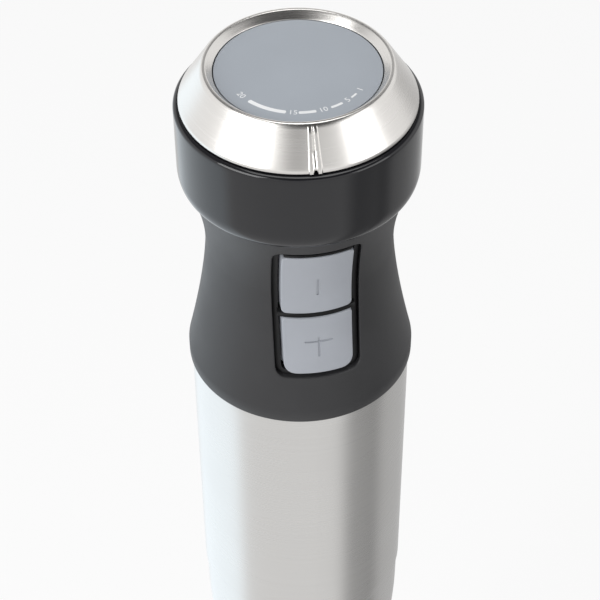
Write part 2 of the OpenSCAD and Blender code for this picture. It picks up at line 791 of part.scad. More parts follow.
// Brass guide for each brush, through the bracket's cage.
module brush_holders() {
  y0 = commutator_r + 1.2;
  color(brass) for (s = [0, 180]) rotate([0, 0, s]) translate([0, y0, z_brush]) difference() {
    translate([-brush[0] / 2 - holder_wall, 0, -brush[2] / 2 - holder_wall])
      cube([brush[0] + 2 * holder_wall, brush_out_y - y0, brush[2] + 2 * holder_wall]);
    translate([-brush[0] / 2 - slip / 2, -1, -brush[2] / 2 - slip / 2])
      cube([brush[0] + slip, brush_out_y - y0 + 0.2, brush[2] + slip]);
  }
}

// Carbon brush whose tip is hollowed to the commutator.
module carbon_brushes() {
  color([0.15, 0.15, 0.16]) difference() {
    for (s = [0, 180]) rotate([0, 0, s])
      translate([-brush[0] / 2, commutator_r - 0.6, z_brush - brush[2] / 2])
        cube([brush[0], brush[1] - 6, brush[2]]);
    translate([0, 0, z_brush - 20]) cylinder(r = commutator_r + 0.3, h = 40);
  }
}

// Spring that presses each brush.
module brush_springs() {
  turns = 5;
  steps = 60;
  y0 = commutator_r - 0.6 + brush[1] - 6 + 0.35;
  y1 = brush_out_y - 1.2;
  for (s = [-1, 1]) color(steel)
    swept_tube([for (i = [0:steps]) let (a = 360 * turns * i / steps)
      [1.9 * cos(a), s * (y0 + (y1 - y0) * i / steps), z_brush + 1.9 * sin(a)]], 0.25, 6);
}

// ---- Joint with the blending shaft --------------------------------------------------------

// Moulded end of the motor unit: bayonet slots below, shaft hole and air holes in its plate,
// and a skirt up to the lower motor mount.
module bayonet_socket() {
  r = sleeve_in_r - slip;
  gap = 0.3;
  color(soft_black) difference() {
    union() {
      ring(r, plug_r + gap, z_seam, z_plate + eps);
      ring(r, shaft_r + 2, z_plate, z_plate + plate_t);
      ring(r, r - 1.8, z_plate, z_lower_bracket);
    }
    for (a = [0, 120, 240]) {
      sector(lug_r + gap, plug_r - 1, a - 1, a + lug_arc + twist + 1, z_lug - gap, z_lug + lug_h + gap);
      sector(lug_r + 2 * gap, plug_r - 1, a + twist - 1, a + lug_arc + twist + 0.5, z_seam - 1,
        z_lug + lug_h / 2);
    }
    for (a = [30:60:330]) rotate([0, 0, a]) translate([14, 0, z_plate - 1])
      cylinder(r = 3.4, h = plate_t + 2);
    for (a = leg_angles) rotate([0, 0, a]) translate([leg_r, 0, z_seam - 1]) {
      cylinder(r = 1.3, h = socket_floor + plate_t + 2, $fn = 32);
      cylinder(r = 2.3, h = socket_floor + 1, $fn = 32);
    }
  }
}

// Screws from the joint's face up into the bracket's legs.
module socket_screws() {
  color(steel) for (a = leg_angles) rotate([0, 0, a]) translate([leg_r, 0, 0]) {
    translate([0, 0, z_plate - 1]) cylinder(r = 1, h = plate_t + 9, $fn = 32);
    translate([0, 0, z_plate - 1.6]) cylinder(r = 2.1, h = 1.5, $fn = 32);
  }
}

// ---- Armature ---------------------------------------------------------------------------

module motor_shaft() {
  color(steel) union() {
    translate([0, 0, z_drive + 0.5]) cylinder(r = shaft_r, h = z_cap + 1 - z_drive - 0.5);
    translate([0, 0, z_cap]) cylinder(r = journal_r, h = upper_bearing_h + 2.4);
  }
}

// Laminated core with a slot between each pair of teeth.
armature_slots = 12;
module armature_core() {
  color(dark_steel) translate([0, 0, z_stack]) linear_extrude(height = stack_h) difference() {
    circle(r = armature_r);
    circle(r = shaft_r + 0.02);
    for (i = [0:armature_slots - 1]) rotate(i * 360 / armature_slots)
      translate([armature_r - 3.4, 0]) square([7.2, 2.6], center = true);
  }
}

// Enamelled wire: an end turn above and below the core, joined through the slots.
module armature_windings() {
  color(copper) union() {
    for (z = [z_stack - winding_h, z_stack_top])
      translate([0, 0, z]) rotate_extrude() polygon([
        [shaft_r + 0.6, 0], [armature_r - 4.5, 0], [armature_r - 3, 1.6],
        [armature_r - 3, winding_h - 1.6], [armature_r - 4.5, winding_h], [shaft_r + 0.6, winding_h]
      ]);
    for (i = [0:armature_slots - 1]) rotate([0, 0, i * 360 / armature_slots])
      translate([armature_r - 6.8, -1.2, z_stack - 1]) cube([4.4, 2.4, stack_h + 2]);
  }
}

// Copper segments with mica grooves, and the risers the wires end on.
module commutator() {
  segments = 24;
  color(copper) difference() {
    union() {
      ring(commutator_r, shaft_r + 0.02, z_riser, z_riser + commutator_h);
      ring(commutator_r + 1, shaft_r + 0.02, z_riser, z_riser + 1.4);
    }
    for (i = [0:segments - 1]) rotate([0, 0, i * 360 / segments])
      translate([commutator_r - 0.8, -0.2, z_riser - 1]) cube([4, 0.4, commutator_h + 2]);
  }
}

// Centrifugal fan: back plate, hub and leaning blades.
module cooling_fan() {
  blades = 9;
  plate_h = 1.6;
  color([0.85, 0.85, 0.82]) union() {
    ring(fan_r, shaft_r + 0.02, z_fan + fan_h - plate_h, z_fan + fan_h);
    ring(6, shaft_r + 0.02, z_fan, z_fan + fan_h);
    for (i = [0:blades - 1]) rotate([0, 0, i * 360 / blades])
      translate([8.5, 0, z_fan]) rotate([0, 0, 18])
        cube([fan_r - 9.6, 1.2, fan_h - plate_h + eps]);
  }
}

// Dog coupling on the motor shaft, with three dogs pointing down.
module drive_coupling() {
  color(dark_steel) union() {
    ring(dog_r, shaft_r + 0.02, z_drive, z_drive + drive_t);
    for (a = [0, 120, 240])
      sector(dog_r - 0.4, dog_in_r, a, a + dog_arc, z_drive - dog_h, z_drive + 1);
  }
}

// ---- Blending shaft ---------------------------------------------------------------------

// Outline of the shoulder: a slow curve in from the joint, then down to the tube.
function shoulder_line(inset) = let (
    top_r = body_r - 0.5, low_r = tube_r + shell_t + slip / 2, h = shoulder_h, steps = 24
  ) [for (i = [0:steps]) let (t = i / steps, s = t * t * (3 - 2 * t))
    [top_r + (low_r - top_r) * s * s - inset, z_shoulder - h * t]];

// Steel shoulder between the joint and the tube, ending in a short collar on the tube.
module shaft_shoulder() {
  z_low = z_shoulder - shoulder_h;
  line = shoulder_line(0);
  inner = shoulder_line(shell_t);
  n = len(line);
  color(steel) rotate_extrude() polygon(concat(
    line, [[line[n - 1][0], z_low - 5]],
    [[inner[n - 1][0], z_low - 5]], reversed(inner)
  ));
}

// Moulded plug in the shoulder's mouth: bayonet ring with three lugs, and the upper bush's hub.
module bayonet_plug() {
  r = body_r - 0.5 - shell_t - slip;
  hub_r = bush_r + 2.6;
  flange_t = 3.6;
  color(soft_black) union() {
    ring(r, plug_in_r, z_shoulder - flange_t, z_shoulder - 0.2);
    ring(plug_r, plug_in_r, z_shoulder - flange_t, plug_top);
    ring(plug_r - 2, bush_r + slip / 2, z_shoulder - flange_t - 3.2, z_shoulder - flange_t - 0.2);
    ring(plug_r - 2, plug_in_r, z_shoulder - flange_t - 1, z_shoulder - flange_t + eps);
    ring(hub_r, bush_r + slip / 2, z_upper_bush, z_shoulder - flange_t - 1);
    for (a = [0, 120, 240]) sector(lug_r, plug_r - 1, a, a + lug_arc, z_lug, z_lug + lug_h);
  }
}

module shaft_tube() color(steel) ring(tube_r, tube_r - shell_t, bell_h - 6, z_tube_top);

// Steel bell with four arched notches in its rim and a collar on the tube.
function bell_line(inset) = let (
    neck = tube_r + bell_wall + slip / 2, rim = bell_r, steps = 18
  ) [for (i = [0:steps]) let (t = i / steps, a = 90 * t)
    [neck + (rim - neck) * pow(sin(a), 0.75) - inset, bell_h - 9 - (bell_h - 22) * (1 - cos(a))]];

module bell_guard() {
  line = bell_line(0);
  inner = bell_line(bell_wall);
  notches = 4;
  notch_r = 9;
  color(steel) difference() {
    rotate_extrude() polygon(concat(
      [[line[0][0] - bell_wall, bell_h], [line[0][0], bell_h]], line,
      [[bell_r, 1.2], [bell_r - 0.2, 0.4], [bell_r - 0.7, 0], [bell_r - bell_wall - 1, 0],
        [bell_r - bell_wall - 1, 1.6], [bell_r - bell_wall, 2.6]],
      reversed(inner)
    ));
    for (i = [0:notches - 1]) rotate([0, 0, i * 360 / notches])
      translate([bell_r - 8, 0, 0]) rotate([0, 90, 0]) cylinder(r = notch_r, h = 20, $fn = 48);
  }
}

// Moulded carrier in the tube's foot, which holds the lower bush and the seal.
module bearing_carrier() {
  r = tube_r - shell_t - slip / 2;
  boss_r = bush_r + 1.8;
  color(soft_black) union() {
    ring(r, bush_r + slip / 2, bell_h - 8, carrier_top + 6);
    ring(boss_r, bush_r + slip / 2, z_seal, bell_h - 8 + eps);
    ring(boss_r, spindle_r + 1, z_seal + seal_h, z_seal + seal_h + 0.5);
  }
}

// Sintered bush for the spindle.
module spindle_bush(z, h) color(bronze) ring(bush_r, spindle_r + run_fit, z, z + h);
module upper_bush() spindle_bush(z_upper_bush, bush_h);
module lower_bush() spindle_bush(z_lower_bush, bush_h);

// Rubber lip seal over the blade.
module shaft_seal() {
  color(rubber) rotate_extrude() polygon([
    [bush_r, z_seal + 0.2], [bush_r, z_seal + seal_h - slip], [spindle_r + 1, z_seal + seal_h - slip],
    [spindle_r + 1.4, z_seal + 2.6], [spindle_r + 0.15, z_seal + 1.2], [spindle_r + 0.15, z_seal + 0.6],
    [spindle_r + 1, z_seal + 0.2]
  ]);
}

module drive_spindle() {
  color(steel) union() {
    translate([0, 0, z_blade]) cylinder(r = spindle_r, h = z_driven + driven_t - 0.5 - z_blade);
    translate([0, 0, z_nut]) cylinder(r = spindle_r - 0.8, h = z_blade - z_nut + eps);
  }
}

// Dog coupling on the spindle, with three dogs pointing up between the drive dogs.
module driven_coupling() {
  color(dark_steel) union() {
    ring(dog_r, spindle_r + 0.02, z_driven, z_driven + driven_t);
    for (a = [0, 120, 240])
      sector(dog_r - 0.4, dog_in_r, a + dog_arc + dog_lead, a + 2 * dog_arc + dog_lead,
        z_driven + driven_t - 1, z_driven + driven_t + dog_h);
  }
}

// Two-winged blade on a thick hub: one wing leans up and one down, with thinned edges.
module blade() {
  color(steel) difference() {
    union() {
      translate([0, 0, z_blade]) cylinder(r = 5.5, h = 5);
      for (s = [0, 180]) rotate([0, 0, s]) translate([2, 0, z_blade + 2.4])
        rotate([0, s == 0 ? -12 : 14, 0]) rotate([s == 0 ? 14 : 10, 0, 0])
          linear_extrude(height = blade_t, center = true) polygon([
            [0, -4.5], [12, -5], [blade_r - 4, -2.4], [blade_r - 2.5, 1.2],
            [blade_r - 6, 3.4], [10, 4.4], [0, 4.5]
          ]);
    }
    translate([0, 0, z_blade - 1]) cylinder(r = spindle_r + 0.02, h = 9);
    ring(5.4, spindle_r - 1, z_blade - 2, z_blade - eps);
  }
}

// Domed cap nut that holds the blade.
module blade_nut() {
  color(steel) difference() {
    union() {
      translate([0, 0, z_nut]) cylinder(r = 5, h = z_blade - z_nut - 0.05, $fn = 6);
      translate([0, 0, z_nut - 1.4]) cylinder(r1 = 2.4, r2 = 4.2, h = 1.4);
    }
    translate([0, 0, z_nut - 0.4]) cylinder(r = spindle_r - 0.8 + 0.02, h = 6);
  }
}

dial_ring();
dial_carrier();
dial_wiper();
scale_disc();
head_collar();
cord_gland();
speed_track_board();
grip_front_shell();
grip_rear_shell();
button_bezel();
speed_button();
turbo_button();
speed_plunger();
turbo_plunger();
speed_spring();
turbo_spring();
speed_switch();
turbo_switch();
switch_board();
inner_chassis();
chassis_screws();
control_board();
suppression_capacitor();
heat_sink();
motor_leads();
steel_sleeve();
upper_motor_mount();
lower_motor_mount();
upper_bracket();
lower_bracket();
motor_screws();
field_core();
field_coils();
upper_bearing();
lower_bearing();
brush_holders();
carbon_brushes();
brush_springs();
bayonet_socket();
socket_screws();
motor_shaft();
armature_core();
armature_windings();
commutator();
cooling_fan();
drive_coupling();
shaft_shoulder();
bayonet_plug();
shaft_tube();
bell_guard();
bearing_carrier();
upper_bush();
lower_bush();
shaft_seal();
drive_spindle();
driven_coupling();
blade();
blade_nut();
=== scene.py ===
"""Looks of a hand blender with a speed dial on top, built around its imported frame. Metres, +Z up."""
import json
import math

import bmesh
import bpy
import numpy as np
from mathutils import Matrix, Vector


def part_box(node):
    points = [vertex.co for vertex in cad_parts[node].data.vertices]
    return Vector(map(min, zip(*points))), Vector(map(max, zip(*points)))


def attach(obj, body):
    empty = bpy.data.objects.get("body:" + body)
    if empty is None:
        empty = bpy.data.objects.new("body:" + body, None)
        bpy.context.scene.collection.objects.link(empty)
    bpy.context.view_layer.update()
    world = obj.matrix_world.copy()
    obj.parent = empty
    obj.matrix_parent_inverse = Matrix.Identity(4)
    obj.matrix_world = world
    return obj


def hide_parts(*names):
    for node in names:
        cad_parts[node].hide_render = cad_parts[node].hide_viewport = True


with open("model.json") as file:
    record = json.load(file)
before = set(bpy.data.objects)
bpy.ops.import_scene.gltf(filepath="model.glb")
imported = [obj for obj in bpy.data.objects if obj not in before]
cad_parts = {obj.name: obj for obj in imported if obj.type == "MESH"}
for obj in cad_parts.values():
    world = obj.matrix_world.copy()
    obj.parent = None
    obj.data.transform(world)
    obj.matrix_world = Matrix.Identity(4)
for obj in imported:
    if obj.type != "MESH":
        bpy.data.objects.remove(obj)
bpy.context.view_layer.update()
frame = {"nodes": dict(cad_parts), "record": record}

MM = 0.001
TURN = 2 * math.pi

# ---- Sizes, read from the frame ------------------------------------------------------------

sleeve_low, sleeve_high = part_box("steel_sleeve")
ring_low, ring_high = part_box("dial_ring")
disc_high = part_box("scale_disc")[1]
collar_low, collar_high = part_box("head_collar")
grip_low, grip_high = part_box("grip_rear_shell")
speed_low, speed_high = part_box("speed_button")
turbo_low, turbo_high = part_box("turbo_button")
shoulder_low, shoulder_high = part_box("shaft_shoulder")
tube_low, tube_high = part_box("shaft_tube")
bell_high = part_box("bell_guard")[1]
gland_low, gland_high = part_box("cord_gland")

FACE_GAP = 0.4 * MM
SLIP = 0.1 * MM
SHEET = 0.8 * MM

body_r = sleeve_high.x
z_seam = sleeve_low.z
z_grip = sleeve_high.z
foot_r = grip_high.x
z_foot = z_grip + 3.5 * MM
z_collar = collar_low.z
collar_r = collar_high.x
grip_top_r = collar_r - 1.8 * MM
neck_r = foot_r - 6.05 * MM
z_neck = z_collar - 21.2 * MM
z_dial = ring_low.z
z_rim = ring_high.z
z_lip = z_dial - FACE_GAP
z_deck = z_lip - 2.4 * MM
dial_r = ring_high.x
rim_r = dial_r - 6.4 * MM
disc_r = disc_high.x
z_disc = disc_high.z
GRIP_WALL = 2.4 * MM
COLLAR_WALL = 2.4 * MM
button_w = 2 * speed_high.x - 2.4 * MM
recess_w = button_w + 4.2 * MM
recess_top = speed_high.z + 1.3 * MM
recess_bottom = turbo_low.z - 1.8 * MM


def grip_radius(z):
    """Outer radius of the grip at height z: a parabola above the neck, a power of 1.45 below it,
    and a plain band at the foot."""
    above = neck_r + (grip_top_r - neck_r) * ((z - z_neck) / (z_collar - z_neck)) ** 2
    rise = np.clip((z_neck - z) / (z_neck - z_foot), 0, 1)
    below = neck_r + (foot_r - neck_r) * rise ** 1.45
    return np.where(z >= z_neck, above, below)


# ---- Camera --------------------------------------------------------------------------------

AZIMUTH = math.radians(-10.3)
ELEVATION = math.radians(44)
ROLL = math.radians(-0.47)
AIM = Vector((0, 0, 0.3152))
AIM_DISTANCE = 0.492
LENS = 108
SENSOR = 36


def add_camera():
    """Camera looking down at the dial and the buttons, from a little to their left."""
    camera = bpy.data.objects.new("camera", bpy.data.cameras.new("camera"))
    bpy.context.scene.collection.objects.link(camera)
    camera.data.lens = LENS
    camera.data.sensor_width = SENSOR
    camera.data.clip_start = 0.01
    back = Vector((math.sin(AZIMUTH) * math.cos(ELEVATION),
                   -math.cos(AZIMUTH) * math.cos(ELEVATION), math.sin(ELEVATION)))
    right = Vector((0, 0, 1)).cross(back).normalized()
    up = back.cross(right)
    rolled = right * math.cos(ROLL) + up * math.sin(ROLL)
    rows = (rolled, back.cross(rolled), back)
    camera.matrix_world = Matrix.Translation(AIM + back * AIM_DISTANCE) @ Matrix(rows).transposed().to_4x4()
    bpy.context.scene.camera = camera


add_camera()

# ---- Shader maths --------------------------------------------------------------------------


class Value:
    """A socket of a material's node tree that Python's operators work on."""

    def __init__(self, paint, socket):
        self.paint = paint
        self.socket = socket

    def maths(self, operation, *others):
        """Result of a Math node whose inputs are this value and the others."""
        return self.paint.node("ShaderNodeMath", {"operation": operation},
                               dict(enumerate((self, *others))))

    def __add__(self, other):
        return self.maths("ADD", other)

    def __rsub__(self, other):
        return self.maths("MULTIPLY", -1) + other

    def __mul__(self, other):
        return self.maths("MULTIPLY", other)

    def __truediv__(self, other):
        return self.maths("DIVIDE", other)

    def __pow__(self, other):
        return self.maths("POWER", other)

    def wave(self, length):
        """Sine of this value, whose period is length, moved to 0..1."""
        return (self * (TURN / length)).maths("SINE") * 0.5 + 0.5

    def step(self, low, high):
        """Smooth rise from 0 at low to 1 at high."""
        return self.paint.node("ShaderNodeMapRange", {"interpolation_type": "SMOOTHSTEP"},
                               {"Value": self, "From Min": low, "From Max": high})

    def band(self, low, high, soft):
        """1 between low and high, falling to 0 over soft on either side."""
        return self.step(low - soft, low + soft) * (1 - self.step(high - soft, high + soft))


class Paint:
    """A material or world under construction."""

    def __init__(self, owner):
        owner.use_nodes = True
        self.owner = owner
        self.tree = owner.node_tree
        self.tree.nodes.clear()

    def node(self, kind, settings=None, inputs=None, output=0):
        """New node of that kind. Settings are set first, then its sockets get values or links."""
        made = self.tree.nodes.new(kind)
        for key, value in (settings or {}).items():
            setattr(made, key, value)
        for key, value in (inputs or {}).items():
            socket = made.inputs[key]
            if isinstance(value, Value):
                self.tree.links.new(value.socket, socket)
            else:
                socket.default_value = value
        return Value(self, made.outputs[output]) if made.outputs else None

    def place(self):
        """Object coordinates as a vector, and as three values."""
        where = self.node("ShaderNodeTexCoord", output="Object")
        parts = [self.node("ShaderNodeSeparateXYZ", inputs={0: where}, output=i) for i in range(3)]
        return where, parts

    def vector(self, x, y, z):
        """Vector of three values or numbers."""
        return self.node("ShaderNodeCombineXYZ", inputs={0: x, 1: y, 2: z})

    def noise(self, where, scale, detail=3.0, rough=0.5):
        """Fractal noise of about 0.5 at a vector."""
        return self.node("ShaderNodeTexNoise",
                         inputs={"Vector": where, "Scale": scale, "Detail": detail, "Roughness": rough})

    def blend(self, factor, first, second):
        """Colour that goes from first to second with factor."""
        sides = [c if isinstance(c, Value) else (*c, 1) for c in (first, second)]
        return self.node("ShaderNodeMix", {"data_type": "RGBA"},
                         {"Factor": factor, 6: sides[0], 7: sides[1]}, output=2)

    def bump(self, height, depth):
        """Normal that follows a height of 0..1 whose real depth is in metres."""
        return self.node("ShaderNodeBump",
                         inputs={"Strength": 1.0, "Distance": depth, "Height": height})

    def surface(self, **sockets):
        """Principled surface with the given sockets, joined to the output."""
        named = {key.replace("_", " "): value for key, value in sockets.items()}
        shader = self.node("ShaderNodeBsdfPrincipled", inputs=named)
        self.node("ShaderNodeOutputMaterial", inputs={"Surface": shader})
        return self.owner


def new_paint(name):
    return Paint(bpy.data.materials.new(name))


def shade(colour, amount):
    """A colour made lighter or darker by a factor."""
    return tuple(min(1, c * amount) for c in colour)


# ---- Finishes ------------------------------------------------------------------------------


def turned_steel(name, colour=(0.68, 0.67, 0.655), roughness=0.28, streak=0.14 * MM, depth=0.003 * MM):
    """Steel with fine brushing that runs round the Z axis: noise that is long along the surface's
    ring and short across it, on roughness, colour and height."""
    paint = new_paint(name)
    _, (x, y, z) = paint.place()
    radius = (x * x + y * y) ** 0.5
    across = z + radius * 0.6
    fine = paint.noise(paint.vector(x * 6, y * 6, across / streak), 1.0, 4.0, 0.7)
    wide = paint.noise(paint.vector(x * 10, y * 10, across / (8 * streak)), 1.0, 2.0)
    smudge = paint.noise(paint.vector(x, y, z), 45.0, 2.0)
    tone = paint.blend(fine * 0.7 + wide * 0.3, shade(colour, 0.92), shade(colour, 1.08))
    return paint.surface(
        Base_Color=tone, Metallic=1.0, Normal=paint.bump(fine, depth),
        Roughness=fine * 0.10 + wide * 0.05 + smudge * 0.08 + (roughness - 0.11))


def moulded(name, colour, roughness=0.45, grain=0.3 * MM, depth=0.012 * MM, coat=0.0, uneven=0.1):
    """Moulded plastic: a fine spark-eroded grain, with slow changes of tone and polish."""
    paint = new_paint(name)
    where, _ = paint.place()
    fine = paint.noise(where, 1 / grain, 2.0, 0.6)
    slow = paint.noise(where, 60.0, 3.0)
    worn = slow.step(0.35, 0.75)
    return paint.surface(
        Base_Color=paint.blend(worn, shade(colour, 1 - uneven), shade(colour, 1 + uneven)),
        Roughness=fine * 0.08 + worn * 0.06 + (roughness - 0.07),
        Coat_Weight=coat, Coat_Roughness=0.08,
        Normal=paint.bump(fine, depth))


def lacquered(name, colour, roughness=0.08):
    """Gloss plastic: a very slight orange peel and hairline polish marks."""
    paint = new_paint(name)
    where, (x, y, z) = paint.place()
    peel = paint.noise(where, 420.0, 1.0)
    hair = paint.noise(paint.vector(x * 40, y * 40, z * 2600), 1.0, 3.0, 0.7)
    dust = paint.noise(where, 900.0, 2.0).step(0.66, 0.74)
    return paint.surface(
        Base_Color=paint.blend(dust * 0.25, colour, shade(colour, 2.2)),
        Roughness=hair * 0.05 + dust * 0.1 + (roughness - 0.02),
        Normal=paint.bump(peel, 0.006 * MM))


def metal(name, colour, roughness=0.3, grain=0.4 * MM):
    """Bare metal with a fine, even grain."""
    paint = new_paint(name)
    where, _ = paint.place()
    fine = paint.noise(where, 1 / grain, 4.0, 0.65)
    stain = paint.noise(where, 90.0, 3.0).step(0.4, 0.7)
    return paint.surface(
        Base_Color=paint.blend(stain, colour, shade(colour, 0.82)), Metallic=1.0,
        Roughness=fine * 0.14 + stain * 0.08 + (roughness - 0.1), Normal=paint.bump(fine, 0.006 * MM))


def layered(name, colour, pitch, metallic, roughness, joint=0.55):
    """Stacked sheets or wound wire: a wave of one period per layer along Z, darker at each joint."""
    paint = new_paint(name)
    where, (_, _, z) = paint.place()
    crest = z.wave(pitch)
    stain = paint.noise(where, 120.0, 3.0)
    return paint.surface(
        Base_Color=paint.blend(crest * 0.7 + stain * 0.3, shade(colour, joint), colour),
        Metallic=metallic, Roughness=stain * 0.15 + (roughness - 0.07),
        Normal=paint.bump(crest, pitch * 0.3))


def circuit_board(name):
    """Green lacquer over copper tracks: tracks where a blocky noise is near its middle."""
    paint = new_paint(name)
    where, _ = paint.place()
    block = paint.node("ShaderNodeTexVoronoi", {"distance": "CHEBYCHEV", "feature": "F1"},
                       {"Vector": where, "Scale": 420.0})
    track = block.band(0.28, 0.4, 0.03)
    tone = paint.blend(track, (0.012, 0.10, 0.04), (0.05, 0.26, 0.10))
    return paint.surface(Base_Color=tone, Roughness=track * 0.1 + 0.3, Normal=paint.bump(track, 0.03 * MM))


STEEL = turned_steel("brushed_steel")
RING_STEEL = turned_steel("brushed_ring_steel", (0.74, 0.72, 0.695), 0.25, 0.22 * MM)
BRIGHT_STEEL = turned_steel("polished_steel", (0.78, 0.77, 0.76), 0.16, 0.2 * MM, 0.002 * MM)
GLOSS_BLACK = lacquered("gloss_black", (0.010, 0.010, 0.012))
SOFT_BLACK = moulded("soft_black", (0.026, 0.026, 0.028), 0.5, 0.28 * MM, 0.015 * MM)
# Near-black, far darker than the grip's plastic: partly the frame's own black and partly painted shade of
# the recess round the buttons.
RECESS_BLACK_WITH_PAINTED_SHADE = moulded("recess_black", (0.004, 0.004, 0.005), 0.7)
BUTTON_GREY = moulded("button_grey", (0.385, 0.405, 0.445), 0.36, 0.16 * MM, 0.004 * MM, uneven=0.03)
DISC_GREY = moulded("disc_grey", (0.345, 0.375, 0.415), 0.42, 0.12 * MM, 0.004 * MM, uneven=0.02)
PRINT_WHITE = moulded("print_white", (0.84, 0.85, 0.86), 0.5, 0.1 * MM, 0.002 * MM)
RUBBER = moulded("rubber", (0.02, 0.02, 0.021), 0.62, 0.35 * MM, 0.02 * MM)

NODE_FINISH = {
    "brushed_steel": STEEL, "disc_grey": DISC_GREY, "gloss_black": GLOSS_BLACK, "soft_black": SOFT_BLACK,
    "recess_black": RECESS_BLACK_WITH_PAINTED_SHADE, "button_grey": BUTTON_GREY, "rubber": RUBBER, "plain_steel": BRIGHT_STEEL,
    "moulded_black": moulded("moulded_black", (0.03, 0.03, 0.031), 0.5),
    "switch_black": moulded("switch_black", (0.03, 0.03, 0.035), 0.25, coat=0.3),
    "circuit_board": circuit_board("circuit_board"),
    "core_iron": layered("core_iron", (0.20, 0.20, 0.21), 0.5 * MM, 0.9, 0.45),
    "enamelled_copper": layered("enamelled_copper", (0.62, 0.26, 0.09), 0.45 * MM, 0.8, 0.3),
    "commutator_copper": turned_steel("commutator_copper", (0.78, 0.44, 0.26), 0.25, 0.2 * MM),
    "brass": metal("brass", (0.78, 0.60, 0.28)),
    "bronze": metal("bronze", (0.58, 0.40, 0.22), 0.42, 0.2 * MM),
    "carbon": moulded("carbon", (0.022, 0.022, 0.024), 0.55, 0.15 * MM),
    "fan_white": moulded("fan_white", (0.72, 0.72, 0.67), 0.42),
    "coupling_black": moulded("coupling_black", (0.05, 0.05, 0.055), 0.4),
    "capacitor_yellow": moulded("capacitor_yellow", (0.72, 0.46, 0.04), 0.25, coat=0.3),
    "aluminium": metal("aluminium", (0.78, 0.79, 0.80), 0.32, 0.25 * MM),
    "lead_insulation": moulded("lead_insulation", (0.42, 0.03, 0.03), 0.35, coat=0.2),
}

# ---- Mesh building -------------------------------------------------------------------------


def grid_faces(rows, columns, wrap_rows, wrap_columns):
    """Corner numbers of the quads of a grid of points, whose last row or column may join the first."""
    i = np.arange(rows if wrap_rows else rows - 1)[:, None]
    j = np.arange(columns if wrap_columns else columns - 1)[None, :]
    below, beside = (i + 1) % rows, (j + 1) % columns
    corners = (i * columns + j, i * columns + beside, below * columns + beside, below * columns + j)
    return np.stack(np.broadcast_arrays(*corners), axis=-1).reshape(-1, 4)


def grid(points, wrap_rows=True, wrap_columns=True):
    """Shape of a rows x columns x 3 array: its points and its quads."""
    rows, columns = points.shape[:2]
    return points.reshape(-1, 3), grid_faces(rows, columns, wrap_rows, wrap_columns)


def softened(corners, radii, steps=6):
    """Outline whose corners are rounded. Each corner C becomes the curve (1-t)^2 A + 2t(1-t) C + t^2 B,
    where A and B lie the corner's radius away from it along its two sides."""
    corners = np.asarray(corners, float)
    radii = np.broadcast_to(np.asarray(radii, float), len(corners))[:, None]
    back = np.roll(corners, 1, axis=0) - corners
    ahead = np.roll(corners, -1, axis=0) - corners
    a = corners + back / np.linalg.norm(back, axis=1)[:, None] * radii
    b = corners + ahead / np.linalg.norm(ahead, axis=1)[:, None] * radii
    t = np.linspace(0, 1, steps)[None, :, None]
    curve = (1 - t) ** 2 * a[:, None] + 2 * t * (1 - t) * corners[:, None] + t ** 2 * b[:, None]
    return curve.reshape(-1, 2)


def subdivided(outline, longest):
    """Closed outline with points added so that no side is longer than longest."""
    ends = np.roll(outline, -1, axis=0)
    counts = np.maximum(1, np.ceil(np.linalg.norm(ends - outline, axis=1) / longest).astype(int))
    start = np.repeat(np.cumsum(counts) - counts, counts)
    share = (np.arange(counts.sum()) - start) / np.repeat(counts, counts)
    return np.repeat(outline, counts, axis=0) + share[:, None] * np.repeat(ends - outline, counts, axis=0)


def turned(profile, angles=None):
    """Lathe shape of a closed (radius, z) outline: each point goes to (r cos a, r sin a, z)."""
    whole = angles is None
    angles = np.linspace(0, TURN, 240, endpoint=False) if whole else angles
    r, z = profile[:, 0][None, :], profile[:, 1][None, :]
    around = angles[:, None]
    points = np.stack(np.broadcast_arrays(r * np.cos(around), r * np.sin(around), z), axis=-1)
    return grid(points, wrap_rows=whole)


def merged(shapes):
    """Several shapes as one list of points and one list of faces."""
    points, faces, count = [], [], 0
    for shape_points, shape_faces in shapes:
        points.append(shape_points)
        faces += (shape_faces + count).tolist()
        count += len(shape_points)
    return np.concatenate(points), faces


def make_object(name, shapes):
    """Object of closed shapes: doubles merged, open ends capped, faces turned outwards."""
    points, faces = merged(shapes)
    mesh = bpy.data.meshes.new(name)
    mesh.from_pydata(points, [], faces)
    build = bmesh.new()
    build.from_mesh(mesh)
    bmesh.ops.remove_doubles(build, verts=build.verts, dist=1e-7)
    bmesh.ops.holes_fill(build, edges=[e for e in build.edges if e.is_boundary], sides=0)
    bmesh.ops.recalc_face_normals(build, faces=build.faces)
    build.to_mesh(mesh)
    build.free()
    made = bpy.data.objects.new(name, mesh)
    bpy.context.scene.collection.objects.link(made)
    return made


def carve(target, cutters):
    """Takes closed cutter shapes out of an object, and keeps the result as its mesh."""
    tool = make_object("cutter", cutters)
    cut = target.modifiers.new("carve", "BOOLEAN")
    cut.object = tool
    cut.solver = "EXACT"
    cut.use_self = True
    view = bpy.context.evaluated_depsgraph_get()
    result = bpy.data.meshes.new_from_object(target.evaluated_get(view))
    target.modifiers.clear()
    target.data = result
    bpy.data.objects.remove(tool)


def piece(name, shapes, finish, body, stands_for=(), cutters=(), sharp=32):
    """Finished piece that rides on a body: its shapes, less its cutters, in one finish."""
    made = make_object(name, shapes)
    if cutters:
        carve(made, cutters)
    made.data.materials.clear()
    made.data.materials.append(finish)
    made.data.shade_smooth()
    made.data.set_sharp_from_angle(angle=math.radians(sharp))
    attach(made, body)
    if stands_for:
        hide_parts(*stands_for)


# ---- Dial ----------------------------------------------------------------------------------

RIB_W = 3.5 * MM
RIDGE_W = 1.6 * MM
RIB_PROUD = 0.28 * MM
RIB_BEARING = math.radians(-2.6)
ARCH_H = 1.0 * MM
ARCH_HALF = 0.62 * MM
ARCH_REACH = 5 * MM
CONE_DROP = 9.6 * MM


